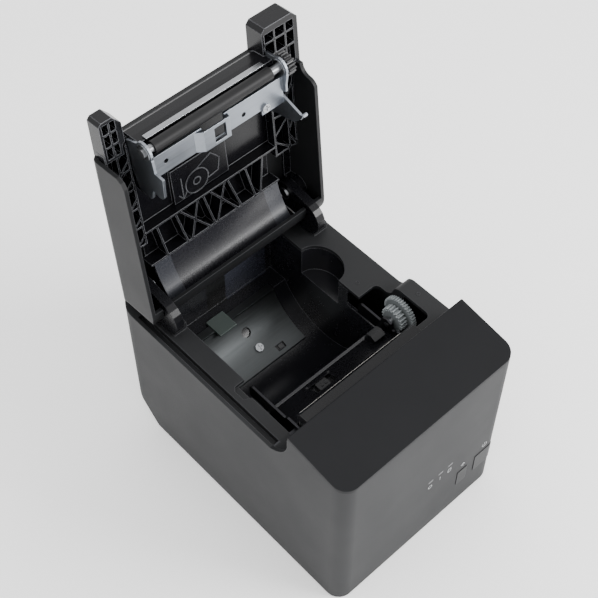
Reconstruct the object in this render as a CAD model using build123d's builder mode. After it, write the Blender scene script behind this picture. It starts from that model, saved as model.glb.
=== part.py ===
from build123d import *
import math
import os

os.makedirs("parts", exist_ok=True)

# Frame: millimetres. X runs to the right seen from the front, Y to the rear and Z up.
# The origin is on the table, under the middle of the case. The cover stands open at rest.
# Pieces of the cover are given where they are with it closed, and swung open by OPEN.

# Fits and stock
CLEAR = 0.3
RUN_GAP = 0.05
SHEET = 1.5
WALL = 2.5
DECK = 2.5
BAY_WALL = 2.0
RIB = 1.2
BOARD = 1.6

# Plan: what the case holds, from side to side and from front to rear
LEFT_SHELF = 20.0
BAY_WIDE = 92.5
RIGHT_SHELF = 27.5
BLOCK_DEPTH = 45.85
PLATEN_BACK = 20.65
BAY_BACK = 21.0
CRADLE_R = 45.0
BAY_NIP = 1.0
BAY_SPARE = 9.0
HINGE_BACK = 15.5
CASE_WIDTH = LEFT_SHELF + BAY_WIDE + RIGHT_SHELF
CASE_DEPTH = (BLOCK_DEPTH + PLATEN_BACK + BAY_BACK + 2 * CRADLE_R - BAY_NIP + BAY_SPARE
              - BAY_WALL + HINGE_BACK)
LEFT_X = -CASE_WIDTH / 2
RIGHT_X = CASE_WIDTH / 2
FRONT_Y = -CASE_DEPTH / 2
REAR_Y = CASE_DEPTH / 2
BAY_LEFT = LEFT_X + LEFT_SHELF
BAY_RIGHT = RIGHT_X - RIGHT_SHELF
PATH_X = (BAY_LEFT + BAY_RIGHT) / 2
PANEL_REAR_Y = FRONT_Y + BLOCK_DEPTH
PLATEN_Y = PANEL_REAR_Y + PLATEN_BACK
BAY_FRONT = PLATEN_Y + BAY_BACK
ROLL_Y = BAY_FRONT + CRADLE_R - BAY_NIP
BAY_REAR = ROLL_Y + CRADLE_R + BAY_SPARE
HINGE_Y = REAR_Y - HINGE_BACK

# Heights
FOOT_STAND = 1.5
SHELF_Z = 115.0
SWING_R = 21.0
SEAM = 0.5
LID_TALL = 12.0
ROLL_DROP = 24.0
PLATEN_RISE = 4.0
DECK_UNDER = SHELF_Z - DECK
HINGE_Z = SHELF_Z + SWING_R
LID_TOP_Z = HINGE_Z + LID_TALL
SKIRT_Z = SHELF_Z + SEAM
ROLL_Z = SHELF_Z - ROLL_DROP
PLATEN_Z = SHELF_Z + PLATEN_RISE

# Outer case
CASE_CORNER = 10.0
GROOVE_WIDE = 4.5
GROOVE_DEEP = 4.5
GROOVE_FRONT_Y = PANEL_REAR_Y + 8.65
PANEL_RISE = 29.3
PANEL_FALL = 9.5
PANEL_THICK = 3.0
PANEL_ROUND = 0.8
PANEL_REAR_Z = SHELF_Z + PANEL_RISE
PANEL_SLOPE = math.tan(math.radians(PANEL_FALL))
PANEL_TAB = 1.6
TAB_Y = (FRONT_Y + 10.5, FRONT_Y + 23.5)
TAB_LONG = 8.0

# Cheeks of the deck beside the front block, and the pads at the hinge brackets
LEFT_RISE_Y = PANEL_REAR_Y + 14.65
RISE_TOP_Z = SHELF_Z + 16.0
RISE_BEND = 0.3
SHOULDER_RISE = 11.5
SHOULDER_Z = SHELF_Z + SHOULDER_RISE
SHOULDER_REAR_Y = PLATEN_Y + 15.5
SHOULDER_FOOT_Y = PLATEN_Y + 29.0
PAD_Y = (HINGE_Y - 26.5, HINGE_Y - 15.5)
PAD_LEFT = ((BAY_LEFT - 10.0, BAY_LEFT - 0.5), PAD_Y, SHELF_Z + 6.0)
PAD_RIGHT = ((RIGHT_X - 14.0, RIGHT_X - 3.5), PAD_Y, SHELF_Z + 6.5)

# Openings of the deck
SLOT_WIDE = 5.0
SLOT_BULGE = 4.5
SLOT_Y = (PLATEN_Y + 26.0, PLATEN_Y + 38.5)
MOUTH_LEFT = BAY_LEFT - SLOT_WIDE
MOUTH_RIGHT = BAY_RIGHT + 3.0
POCKET_WIDE = 15.5
POCKET_Y = (PLATEN_Y - 9.0, PLATEN_Y + 36.0)
POCKET_ROUND = 4.0
SCOOP_Y = ROLL_Y + 6.0
SCOOP_WIDE = 14.0
SCOOP_LONG = 17.0
SCOOP_FLOOR_Z = SHELF_Z - 24.0

# Lower rear corner, cut away for the leads, and the recess between its cheeks
CUT_TOP_Z = 39.5
CUT_KNEE = (REAR_Y - 7.5, 19.2)
RECESS_Y = REAR_Y - 23.5
RECESS_SIDE = 10.0
RECESS_TOP_Z = 44.0
RECESS_WALL = 2.0
RECESS_HALF = RIGHT_X - RECESS_SIDE

# Hinge and cover
OPEN_ANGLE = 95.0
PIN_R = 3.0
TOWER_OUT = RIGHT_X - 9.0
TOWER_THICK = 6.0
TOWER_X = (TOWER_OUT - TOWER_THICK, TOWER_OUT)
TOWER_BOSS_R = 8.0
TOWER_NOSE_R = 13.0
TOWER_REACH = 18.0
TOWER_FOOT = 2.0
LID_WALL = 2.5
LID_FALL = 2.0
LID_SLOPE = math.tan(math.radians(LID_FALL))
LID_ROUND = 5.0
INNER_RUN = 8
SKIRT_ROUND = 5.5
LEFT_SKIRT_Y = PLATEN_Y + 7.5
LID_FRONT_Y = PLATEN_Y
TAIL_R = HINGE_Z - SKIRT_Z
SLOT_X = (TOWER_X[0] - 0.7, TOWER_X[1] + 0.7)
SLOT_Z = HINGE_Z + 8.0
EAR_FRONT_Y = PANEL_REAR_Y + 0.45
LEFT_EAR_Z = SHELF_Z + 18.0
RIGHT_EAR_Z = SHELF_Z + 14.8
EAR_CEILING_Z = SHELF_Z + 26.4

# Roll bay
BAY_LIP_Z = ROLL_Z - 22.0
BAY_FRONT_Z = ROLL_Z + 7.0
BAY_SIDE_Y = BAY_FRONT + 25.0
FLANGE_WIDE = 4.0
HOLDER_THICK = 1.5
HOLDER_RIGHT = BAY_RIGHT - 12.0
HOLDER_FRONT_Y = ROLL_Y + 6.0
STOP_X = (PATH_X - 17.2, PATH_X - 2.7)
STOP_Y = (ROLL_Y + 32.0, ROLL_Y + 46.6)
STOP_STEM = 5.5
STOP_TOP_Z = BAY_LIP_Z + 2.0
SCREW_TURN = 25.0
SCREW_RISE = 0.1
HOLE_PLACE = (PATH_X + 2.4, 42.5)
PEG_PLACE = (PATH_X + 16.5, 14.7)
HOLE_WIDE = 3.4
PEG_WIDE = 3.4
SCREW_R = 1.2
SCREW_HEAD_R = 3.0
SCREW_HEAD = 1.5

# Mechanism frame, print head and platen, with the cover closed
LEFT_PLATE = BAY_LEFT + 1.7
RIGHT_PLATE = BAY_RIGHT - 0.2
RUBBER_R = 3.8
RUBBER_LONG = BAY_WIDE - 8.5
SHAFT_R = 2.5
BUSH_R = 4.5
BUSH_COLLAR = (0.4, 0.6)
FRAME_Y = (PLATEN_Y - 17.0, PLATEN_Y + 17.0)
FRAME_FLOOR_Z = SHELF_Z - 63.0
FRAME_TOP_Z = SHELF_Z - 3.0
ARM_STEP_Y = (PLATEN_Y + 3.0, PLATEN_Y + 5.0)
ARM_REAR_Y = PLATEN_Y + 36.0
ARM_Z = (SHELF_Z - 15.0, SHELF_Z - 5.0)
HEAD_X = (BAY_LEFT + 5.0, BAY_RIGHT - 5.0)
HEAD_THICK = 1.0
HEAD_Z = (SHELF_Z - 13.0, SHELF_Z + 7.9)
HEAD_GAP = 0.3
SINK_THICK = 5.0
SINK_Z = SHELF_Z - 19.0
SINK_FOOT = 5.0
SINK_MARGIN = 0.8
SINK_GROOVES = (2.0, 8.0, 14.0)
SINK_GROOVE = (2.0, 3.0)
HEAT_LINE_Z = (HEAD_Z[0] + 1.0, HEAD_Z[0] + 5.0)
GUIDE_FRONT_Y = PLATEN_Y - 3.2
GUIDE_REAR = (PLATEN_Y + 17.0, SHELF_Z - 14.0)
GUIDE_TOP_Z = SHELF_Z - 3.7
GUIDE_SHEET = 2.0
WELL_X = (PATH_X - 16.8, PATH_X - 0.8)
WELL_Y = (PLATEN_Y + 6.0, PLATEN_Y + 14.0)
WELL_FLOOR_Z = GUIDE_REAR[1] - SHEET
WINDOW_X = (PATH_X + 18.0, PATH_X + 28.0)
WINDOW_Y = (GUIDE_FRONT_Y - 4.0, GUIDE_FRONT_Y + 7.0)
LUMP_OUT = (13.0, 4.0)
LUMP_FORM = ((PLATEN_Y + 11.0, GUIDE_REAR[1] + 3.0), (PLATEN_Y + 8.0, GUIDE_REAR[1] + 7.5),
             (PLATEN_Y + 12.0, GUIDE_REAR[1] + 9.5), (PLATEN_Y + 16.0, GUIDE_REAR[1] + 8.0))
SENSOR_TALL = 4.0
SENSOR_EYES = (PATH_X - 10.5, PATH_X - 7.5)
EYE_PROUD = 0.5

# Cutter
CUTTER_FRONT_Y = PLATEN_Y - 55.0
CUTTER_REAR_Y = PLATEN_Y - 18.0
CUTTER_NOSE_Y = PLATEN_Y - 7.5
CUTTER_Z = (SHELF_Z + 3.0, SHELF_Z + 17.0)
NOSE_Z = SHELF_Z + 10.5
CUTTER_X = (BAY_LEFT, BAY_RIGHT + 0.5)
BLADE_X = (PATH_X - RUBBER_LONG / 2, PATH_X + RUBBER_LONG / 2)
BLADE_THICK = 1.2
BLADE_Z = SHELF_Z + 12.2
BLADE_REST_Y = PLATEN_Y - 9.2
BLADE_DEEP = 24.0
RAIL_BLADE = (12.0, 8.0)
FIXED_THICK = 1.0
FIXED_Y = (PLATEN_Y - 3.5, PLATEN_Y - 3.5 + FIXED_THICK)
FIXED_Z = (SHELF_Z + 8.2, BLADE_Z - CLEAR)

# Gear train on the right: tooth counts, modules and places
PLATEN_TEETH = 16
SMALL_TEETH = 20
BIG_TEETH = 40
REDUCTION_TEETH = 48
PINION_TEETH = 12
PLATEN_MODULE = 0.8
DRIVE_MODULE = 0.6
BACKLASH = 0.16
COMPOUND_TURN = -35.0
AXLE_R = 2.0
MOTOR_Y = PLATEN_Y - 3.0
MOTOR_Z = SHELF_Z - 43.0
MOTOR_R = 17.0
MOTOR_X = RIGHT_PLATE - 22.0
MOTOR_SHAFT_R = 1.5
MOTOR_SHAFT_IN = 6.0
MOTOR_PILOT_R = 5.0

# Platen bracket in the cover, with the cover closed
LEFT_ARM = BAY_LEFT - SHEET
RIGHT_ARM = RIGHT_PLATE + SHEET + 1.2
ARM_END_R = 6.5
SOLE_Z = PLATEN_Z - 2.0
SOLE_Y = (PLATEN_Y + 5.5, PLATEN_Y + 20.0)
FLANGE_RISE = 7.5
FLANGE_OUT = 8.0
FLANGE_X = (BAY_LEFT + 2.0, BAY_RIGHT - 14.0)
HAT_X = (PATH_X - 11.5, PATH_X + 6.8)
HAT_Y = (PLATEN_Y + 6.0, PLATEN_Y + 21.5)
HAT_TALL = 3.5
HAT_LEAN = 4.5
HAT_WINDOW = ((HAT_X[0] + 7.0, HAT_X[1] - 3.0), (HAT_Y[0] + 2.0, SOLE_Y[1] - 2.0))
BRACKET_SCREW = (BAY_RIGHT - 11.3, PLATEN_Y + 19.5)
BRACKET_PEG = (BAY_LEFT + 18.0, PLATEN_Y + 12.5)
BRACKET_HOLES = ((BAY_LEFT + 10.2, PLATEN_Y + 12.4), (PATH_X + 19.2, PLATEN_Y + 14.9))
HOLE_R = 1.6
PIN_BACK = 27.5
PIN_DROP = 16.0
GEAR_X = (RIGHT_ARM + SHEET + 0.7, RIGHT_ARM + SHEET + 5.7)
DRIVE_X = (GEAR_X[1] + 1.0, GEAR_X[1] + 4.2)
AXLE_END = DRIVE_X[1] + 1.0

# Frame of the cover: plate, bar, ribs, rails and the curved guide
FRAME_PLATE = 2.0
BAR_LEFT = LEFT_ARM - SHEET
BAR_RIGHT = RIGHT_ARM - SHEET
BAR_BACK_Y = PLATEN_Y + 3.2
BAR_SWELL = 2.0
RIB_LOW_Z = SHELF_Z + 19.0
PLATE_WIDE_Y = PLATEN_Y + 81.0
CHORD_Y = PLATEN_Y + 73.0
GUIDE_START_Y = HINGE_Y - 16.0
ARM_RIB_LONG = 35.0
ARM_RIB_Z = SHELF_Z + 13.0
BOSS_R = 7.0
RAIL_OUT = RIGHT_X - LID_WALL - CLEAR
RAIL_IN = TOWER_OUT + 0.4
PIN_X = (TOWER_X[0] - SHEET, RAIL_OUT)
GUIDE_Y = HINGE_Y - 21.7
GUIDE_Z = HINGE_Z - 45.5
GUIDE_R = 44.0
GUIDE_THICK = 2.0
GUIDE_X = (BAY_LEFT - 0.5, BAY_RIGHT + 5.5)
CREASE_Y = HINGE_Y + 3.0
GUIDE_END = ((HINGE_Y + 10.6, HINGE_Z - 14.2), (HINGE_Y + 12.2, HINGE_Z - 13.0))
PAD_PLATE_X = (PATH_X - 21.8, PATH_X + 19.5)
PAD_PLATE_Y = (PLATEN_Y + 46.0, CHORD_Y - RIB)

# Front controls
FEED_X = (RIGHT_X - 37.6, RIGHT_X - 29.0)
FEED_Z = (25.7, 40.5)
POWER_X = (RIGHT_X - 21.7, RIGHT_X - 5.8)
POWER_Z = (25.5, 42.0)
BUTTON_PROUD = 0.4
BUTTON_FLANGE = 1.0
FLANGE_THICK = 0.8
LED_X = (RIGHT_X - 64.2, RIGHT_X - 55.4, RIGHT_X - 46.9)
LED_Z = 62.0
LED_SIZE = (4.0, 1.6)
BOARD_GAP = 3.0
BOARD_MARGIN = 10.0
SWITCH_TALL = 1.0
SWITCH_HALF = 3.0

# Base, boards and sockets
BASE_THICK = 2.5
FOOT_R = 7.0
FOOT_DEEP = 1.0
FOOT_X = RIGHT_X - 18.0
FOOT_Y = (FRONT_Y + 17.5, RECESS_Y - 18.0)
POST_X = RIGHT_X - 7.0
POST_Y = (FRONT_Y + 29.5, RECESS_Y - 31.0)
POST_R = 5.0
POST_TOP_Z = FOOT_STAND + BASE_THICK + 30.0
SCREW_LONG = 12.0
BOARD_Z = 12.0
BOARD_X = (-3.0, RIGHT_X - 14.0)
BOARD_Y = (FRONT_Y + 39.5, RECESS_Y - 6.0)
STAND_IN = 6.0
CHIPS = ((9.0, 80.0, 9.0), (23.0, 90.0, 6.0), (43.0, 60.0, 12.0), (33.0, 25.0, 5.0))
CHIP_HALF = (4.0, 6.0)
SUPPLY_X = (LEFT_X + 13.0, BOARD_X[0] - 3.0)
SUPPLY_Y = (FRONT_Y + 79.5, RECESS_Y - 16.0)
SUPPLY_TOP_Z = ROLL_Z - CRADLE_R - BAY_WALL - 4.0
SOCKET_PROUD = 1.5
SOCKET_FACE_Y = RECESS_Y + SOCKET_PROUD
SOCKET_REAR_Y = SOCKET_FACE_Y - 17.5
SOCKET_Z = BOARD_Z + BOARD
SOCKET_GAP = 0.2
INLET_WIDE = 27.0
INLET_X = (SUPPLY_X[0] + 5.5, SUPPLY_X[0] + 5.5 + INLET_WIDE)
INLET_Z = (12.0, 32.0)
INLET_DEEP = 14.0
INLET_RIM = (2.0, 2.5)
INLET_CORE = 4.5
PRONGS = ((-6.0, 7.5), (0.0, 12.5), (6.0, 7.5))
PRONG_HOLE = (1.6, 2.4, 12.0)
PRONG_HALF = (1.0, 1.8)
USB_X = (BOARD_X[0] + 3.0, BOARD_X[0] + 15.0)
USB_TALL = 11.0
DRAWER_X = (USB_X[1] + 5.0, USB_X[1] + 19.0)
NETWORK_X = (DRAWER_X[1] + 5.0, DRAWER_X[1] + 21.0)
JACK_TALL = 13.5
PLUG_DEEP = 10.0
TONGUE = (3.2, 3.9)
LATCH_IN = 4.5
SOCKETS = (("usb_port", USB_X, USB_TALL, (1.8, 1.6)),
           ("drawer_port", DRAWER_X, JACK_TALL, (2.0, 2.5)),
           ("network_port", NETWORK_X, JACK_TALL, (2.0, 2.5)))

# Ears, cells and ribs of the cover's frame. Ribs of the truss are measured from the middle of
# the paper path, and those of the side webs from the roller.
EAR_SIDE = 3.0
LEFT_EAR = ((LEFT_X + EAR_SIDE, LEFT_SKIRT_Y), (LEFT_X + EAR_SIDE, EAR_FRONT_Y + 2),
            (LEFT_X + EAR_SIDE + 2, EAR_FRONT_Y), (LEFT_X + 12, EAR_FRONT_Y),
            (BAR_LEFT, EAR_FRONT_Y + 6.2), (BAR_LEFT, PLATEN_Y), (MOUTH_LEFT, PLATEN_Y),
            (MOUTH_LEFT, LEFT_SKIRT_Y))
RIGHT_EAR = ((BAR_RIGHT, SHOULDER_REAR_Y), (BAR_RIGHT, EAR_FRONT_Y + 2.7),
             (BAR_RIGHT + 2.5, EAR_FRONT_Y), (RIGHT_X - 4, EAR_FRONT_Y),
             (RIGHT_X, EAR_FRONT_Y + 4), (RIGHT_X, SHOULDER_REAR_Y))
LEFT_CELLS = ((LEFT_X + 4.8, LEFT_X + 8.6), (LEFT_X + 9.8, LEFT_X + 13.2))
RIGHT_CELLS = ((BAR_RIGHT + 1.8, BAR_RIGHT + 8.5), (BAR_RIGHT + 9.7, BAR_RIGHT + 16.5),
               (BAR_RIGHT + 17.7, RIGHT_X - 3.2))
LEFT_ROWS = ((EAR_FRONT_Y + 2.2, EAR_FRONT_Y + 8.6), (EAR_FRONT_Y + 9.8, EAR_FRONT_Y + 17.2),
             (EAR_FRONT_Y + 18.4, LEFT_SKIRT_Y - 2))
RIGHT_ROWS = ((EAR_FRONT_Y + 4.2, EAR_FRONT_Y + 10.2), (EAR_FRONT_Y + 11.4, EAR_FRONT_Y + 20.2),
              (EAR_FRONT_Y + 21.4, SHOULDER_REAR_Y - 2))
TRUSS = ((-40.0, -36.0), (-26.0, -20.5), (-23.0, -3.0), (-9.0, -17.0), (-5.0, 1.0),
         (0.0, 19.0), (12.0, 3.0), (14.0, 22.0), (28.0, 33.5), (42.0, 38.0))
SIDE_X = (RIGHT_X - 20.4, RIGHT_X - 9.0, RIGHT_X - 3.4)
RIGHT_WEB = (((SIDE_X[0], 50.5), (SIDE_X[1], 52.0)), ((SIDE_X[0], 65.4), (SIDE_X[1], 55.0)),
             ((SIDE_X[0], 69.7), (SIDE_X[1], 80.0)), ((SIDE_X[1], 68.0), (SIDE_X[2], 56.0)),
             ((SIDE_X[1], 70.0), (SIDE_X[2], 80.0)), ((SIDE_X[0], 35.0), (SIDE_X[1], 25.0)),
             ((SIDE_X[1], 41.0), (SIDE_X[2], 31.0)))
LEFT_WEB_X = (LEFT_X + 3.4, LEFT_X + 10.4, BAY_LEFT - 2.6)
LEFT_WEB = (21.0, 36.0, 51.0, 66.0, 80.4)
WEB_LEAN = 7.0

# Outlines of the bracket's arms, measured from the roller's middle to the rear and up
LEFT_FORM = ((0.0, 15.5), (17.0, 15.5), (33.5, 11.5), (35.5, 2.0), (33.8, -0.2), (29.8, -0.8),
             (26.7, -2.4), (28.4, -7.0), (27.6, -10.4), (25.3, -12.3), (11.7, -13.6),
             (11.0, -7.0), (3.0, -6.3), (-5.8, -3.0))
RIGHT_FORM = ((-5.0, 10.8), (28.0, 10.8), (38.7, 11.7), (36.8, 4.4), (34.5, -9.7),
              (29.7, -15.5), (25.9, -17.9), (25.9, -15.8), (19.6, -0.1), (17.1, -0.4),
              (15.2, -4.6), (9.8, -4.8), (3.0, -6.3), (-5.8, -3.0))

# Flat sides of the pieces that are round but turn on nothing
ROUND = 20
SMALL_ROUND = 8
SCOOP_SIDES = 40
CROWN_TURNS = (0, 30, 60, 90)

HERE = Location((0, 0, 0))
OPEN = (Location((0, HINGE_Y, HINGE_Z), (-OPEN_ANGLE, 0, 0))
        * Location((0, -HINGE_Y, -HINGE_Z)))


def block(x, y, z, mode=Mode.ADD, place=HERE):
    """A block between two values each of x, y and z."""
    centre = ((x[0] + x[1]) / 2, (y[0] + y[1]) / 2, (z[0] + z[1]) / 2)
    with Locations(place * Location(centre)):
        Box(x[1] - x[0], y[1] - y[0], z[1] - z[0], mode=mode)


def side(x, place=HERE):
    """The plane across X whose own axes are Y and Z."""
    return Plane(place * Plane.YZ.offset(x).location)


def level(z, place=HERE):
    """The level plane at a height."""
    return Plane(place * Plane.XY.offset(z).location)


def rod(x, y, z, radius, mode=Mode.ADD, place=HERE):
    """A round bar along X between two values of x."""
    with Locations(place * Location(((x[0] + x[1]) / 2, y, z), (0, 90, 0))):
        Cylinder(radius, x[1] - x[0], mode=mode)


def faceted_rod(x, y, z, radius, sides=SMALL_ROUND, mode=Mode.ADD, place=HERE):
    """A bar along X with many flat sides, for pieces that nothing turns on."""
    with BuildSketch(side(x[0], place)) as outline:
        with Locations((y, z)):
            RegularPolygon(radius, sides)
    extrude(outline.sketch, amount=x[1] - x[0], mode=mode)


def post(x, y, z, radius, sides=SMALL_ROUND, mode=Mode.ADD, place=HERE):
    """A post along Z with many flat sides, between two values of z."""
    with BuildSketch(level(z[0], place)) as outline:
        with Locations((x, y)):
            RegularPolygon(radius, sides)
    extrude(outline.sketch, amount=z[1] - z[0], mode=mode)


def slab(x, points, mode=Mode.ADD, place=HERE):
    """A piece between two values of x whose outline is given in Y and Z."""
    with BuildSketch(side(x[0], place)) as outline:
        with BuildLine():
            Polyline(*points, close=True)
        make_face()
    extrude(outline.sketch, amount=x[1] - x[0], mode=mode)


def sheet(points, z, mode=Mode.ADD, place=HERE):
    """A piece between two heights whose outline is given in X and Y."""
    with BuildSketch(level(z[0], place)) as outline:
        with BuildLine():
            Polyline(*points, close=True)
        make_face()
    extrude(outline.sketch, amount=z[1] - z[0], mode=mode)


def wedge(y, points, mode=Mode.ADD, place=HERE):
    """A piece between two values of y whose outline is given in X and Z."""
    with BuildSketch(Plane(place * Plane.XZ.offset(-y[1]).location)) as outline:
        with BuildLine():
            Polyline(*points, close=True)
        make_face()
    extrude(outline.sketch, amount=y[1] - y[0], mode=mode)


def opening(x, y, z, corner, mode=Mode.SUBTRACT):
    """A rounded rectangle of the plan, carried from one height to another."""
    with BuildSketch(level(z[0])) as outline:
        with Locations(((x[0] + x[1]) / 2, (y[0] + y[1]) / 2)):
            RectangleRounded(x[1] - x[0], y[1] - y[0], corner)
    extrude(outline.sketch, amount=z[1] - z[0], mode=mode)


def rib(start, end, z, thick=RIB, place=HERE):
    """An upright rib between two points of the plan."""
    long = math.dist(start, end)
    turn = math.degrees(math.atan2(end[1] - start[1], end[0] - start[0]))
    centre = ((start[0] + end[0]) / 2, (start[1] + end[1]) / 2, (z[0] + z[1]) / 2)
    with Locations(place * Location(centre, (0, 0, turn))):
        Box(long, thick, z[1] - z[0])


def scoop_outline(grow):
    """The finger scoop's outline in the plan, an ellipse of many short sides."""
    turns = [2 * math.pi * step / SCOOP_SIDES for step in range(SCOOP_SIDES)]
    return [(BAY_RIGHT + (SCOOP_WIDE + grow) * math.cos(turn),
             SCOOP_Y + (SCOOP_LONG + grow) * math.sin(turn)) for turn in turns]


def crown_corner(radius):
    """How far in and how far down the points of a rounded edge lie, from side to top."""
    turns = [math.radians(turn) for turn in CROWN_TURNS]
    return [(radius * (1 - math.cos(turn)), radius * (1 - math.sin(turn))) for turn in turns]


def cross_recess(place):
    """The cross in a screw's head, cut from the face that the place lies on."""
    with Locations(place):
        Box(4.0, SCREW_HEAD / 2, SCREW_HEAD, mode=Mode.SUBTRACT)
        Box(SCREW_HEAD / 2, 4.0, SCREW_HEAD, mode=Mode.SUBTRACT)


def finish(piece, name):
    """Names a finished piece and writes its file."""
    piece.label = name
    export_step(piece, "parts/" + name + ".step")


def under_circle(y, z, radius, at):
    """The lower point of a circle at a value of Y."""
    return (at, z - math.sqrt(radius ** 2 - (at - y) ** 2))


def over_circle(y, z, radius, at):
    """The upper point of a circle at a value of Y."""
    return (at, z + math.sqrt(radius ** 2 - (at - y) ** 2))


def on_cradle(x, turn, radius):
    """A place at a radius of the cradle, turned from its lowest line, facing the middle."""
    angle = math.radians(turn)
    return Location((x, ROLL_Y + radius * math.sin(angle), ROLL_Z - radius * math.cos(angle)),
                    (turn, 0, 0))


def lid_top(y, inset=0.0):
    """Height of the closed cover's top, or of the face that lies inset below it."""
    return LID_TOP_Z - (HINGE_Y - y) * LID_SLOPE - inset


def panel_under(y):
    """Height of the panel's lower face."""
    return PANEL_REAR_Z - PANEL_THICK - (PANEL_REAR_Y - y) * PANEL_SLOPE


def shoulder(x, grow=0.0, mode=Mode.ADD, place=HERE):
    """The raised right cheek between two values of x, with its S-shaped rear."""
    rear = (SHOULDER_REAR_Y, SHELF_Z + SHOULDER_RISE + grow)
    foot = (SHOULDER_FOOT_Y + grow, SHELF_Z)
    knee = ((rear[0] + foot[0]) / 2, (rear[1] + foot[1]) / 2)
    with BuildSketch(side(x[0], place)) as outline:
        with BuildLine():
            Polyline(foot, (foot[0], DECK_UNDER), (PANEL_REAR_Y, DECK_UNDER),
                     (PANEL_REAR_Y, rear[1]), rear)
            TangentArc(rear, knee, tangent=(1, 0))
            TangentArc(foot, knee, tangent=(-1, 0))
        make_face()
    extrude(outline.sketch, amount=x[1] - x[0], mode=mode)


def tooth_half_angle(teeth, module, radius):
    """Half the angle that an involute tooth of 20 degrees pressure takes at a radius."""
    pressure = math.radians(20)
    pitch_r = teeth * module / 2
    base_r = pitch_r * math.cos(pressure)
    half = math.pi / (2 * teeth) - BACKLASH / (4 * pitch_r) + math.tan(pressure) - pressure
    if radius <= base_r:
        return half
    alpha = math.acos(base_r / radius)
    return half - (math.tan(alpha) - alpha)


def gear(x, centre, teeth, module, phase, steps, place=HERE):
    """A spur gear between two values of x, with one tooth centred at the angle phase."""
    pitch_r = teeth * module / 2
    low = pitch_r - 1.2 * module
    high = pitch_r + 0.95 * module
    radii = [low + (high - low) * step / (steps - 1) for step in range(steps)]
    flank = [(r, tooth_half_angle(teeth, module, r)) for r in radii]
    points = []
    for tooth in range(teeth):
        middle = phase + tooth * 2 * math.pi / teeth
        for sign, rows in ((-1, flank), (1, flank[::-1])):
            for r, half in rows:
                turn = middle + sign * half
                points.append((centre[0] + r * math.cos(turn), centre[1] + r * math.sin(turn)))
    slab(x, points, place=place)


def mesh_phase(start, end, teeth, mate_teeth, mate_phase):
    """Phase of a gear at end that meshes with a mate at start of known phase."""
    line = math.atan2(end[1] - start[1], end[0] - start[0])
    pitch = 2 * math.pi / teeth
    mate_pitch = 2 * math.pi / mate_teeth
    return line + math.pi - pitch * (0.5 - (line - mate_phase) / mate_pitch)


# Main case: a plan outline cut to the side profile, hollowed from below

with BuildPart() as case_void:
    with BuildSketch(level(0)):
        RectangleRounded(CASE_WIDTH - 2 * WALL, CASE_DEPTH - 2 * WALL, CASE_CORNER - WALL)
    extrude(amount=2 * PANEL_REAR_Z)
    with BuildSketch(side(LEFT_X)):
        arc_r = SWING_R + DECK
        arc_start = (HINGE_Y, HINGE_Z - arc_r)
        arc_end = under_circle(HINGE_Y, HINGE_Z, arc_r, REAR_Y - WALL)
        arc_middle = under_circle(HINGE_Y, HINGE_Z, arc_r, (HINGE_Y + REAR_Y - WALL) / 2)
        with BuildLine():
            Polyline((FRONT_Y, 0), (FRONT_Y, 2 * PANEL_REAR_Z),
                     (PANEL_REAR_Y - WALL, 2 * PANEL_REAR_Z), (PANEL_REAR_Y - WALL, DECK_UNDER),
                     arc_start)
            ThreePointArc(arc_start, arc_middle, arc_end)
            Polyline(arc_end, (REAR_Y - WALL, CUT_TOP_Z),
                     (CUT_KNEE[0] - WALL, CUT_KNEE[1] + WALL), (RECESS_Y - 2 * WALL, 0),
                     (FRONT_Y, 0))
        make_face()
    extrude(amount=CASE_WIDTH, mode=Mode.INTERSECT)
    block((-RECESS_HALF - RECESS_WALL, RECESS_HALF + RECESS_WALL),
          (RECESS_Y - RECESS_WALL, REAR_Y), (0, RECESS_TOP_Z + RECESS_WALL), Mode.SUBTRACT)
    block((LEFT_X, MOUTH_LEFT), (PANEL_REAR_Y - WALL, BAY_REAR),
          (DECK_UNDER - GROOVE_DEEP, SHELF_Z), Mode.SUBTRACT)

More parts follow.
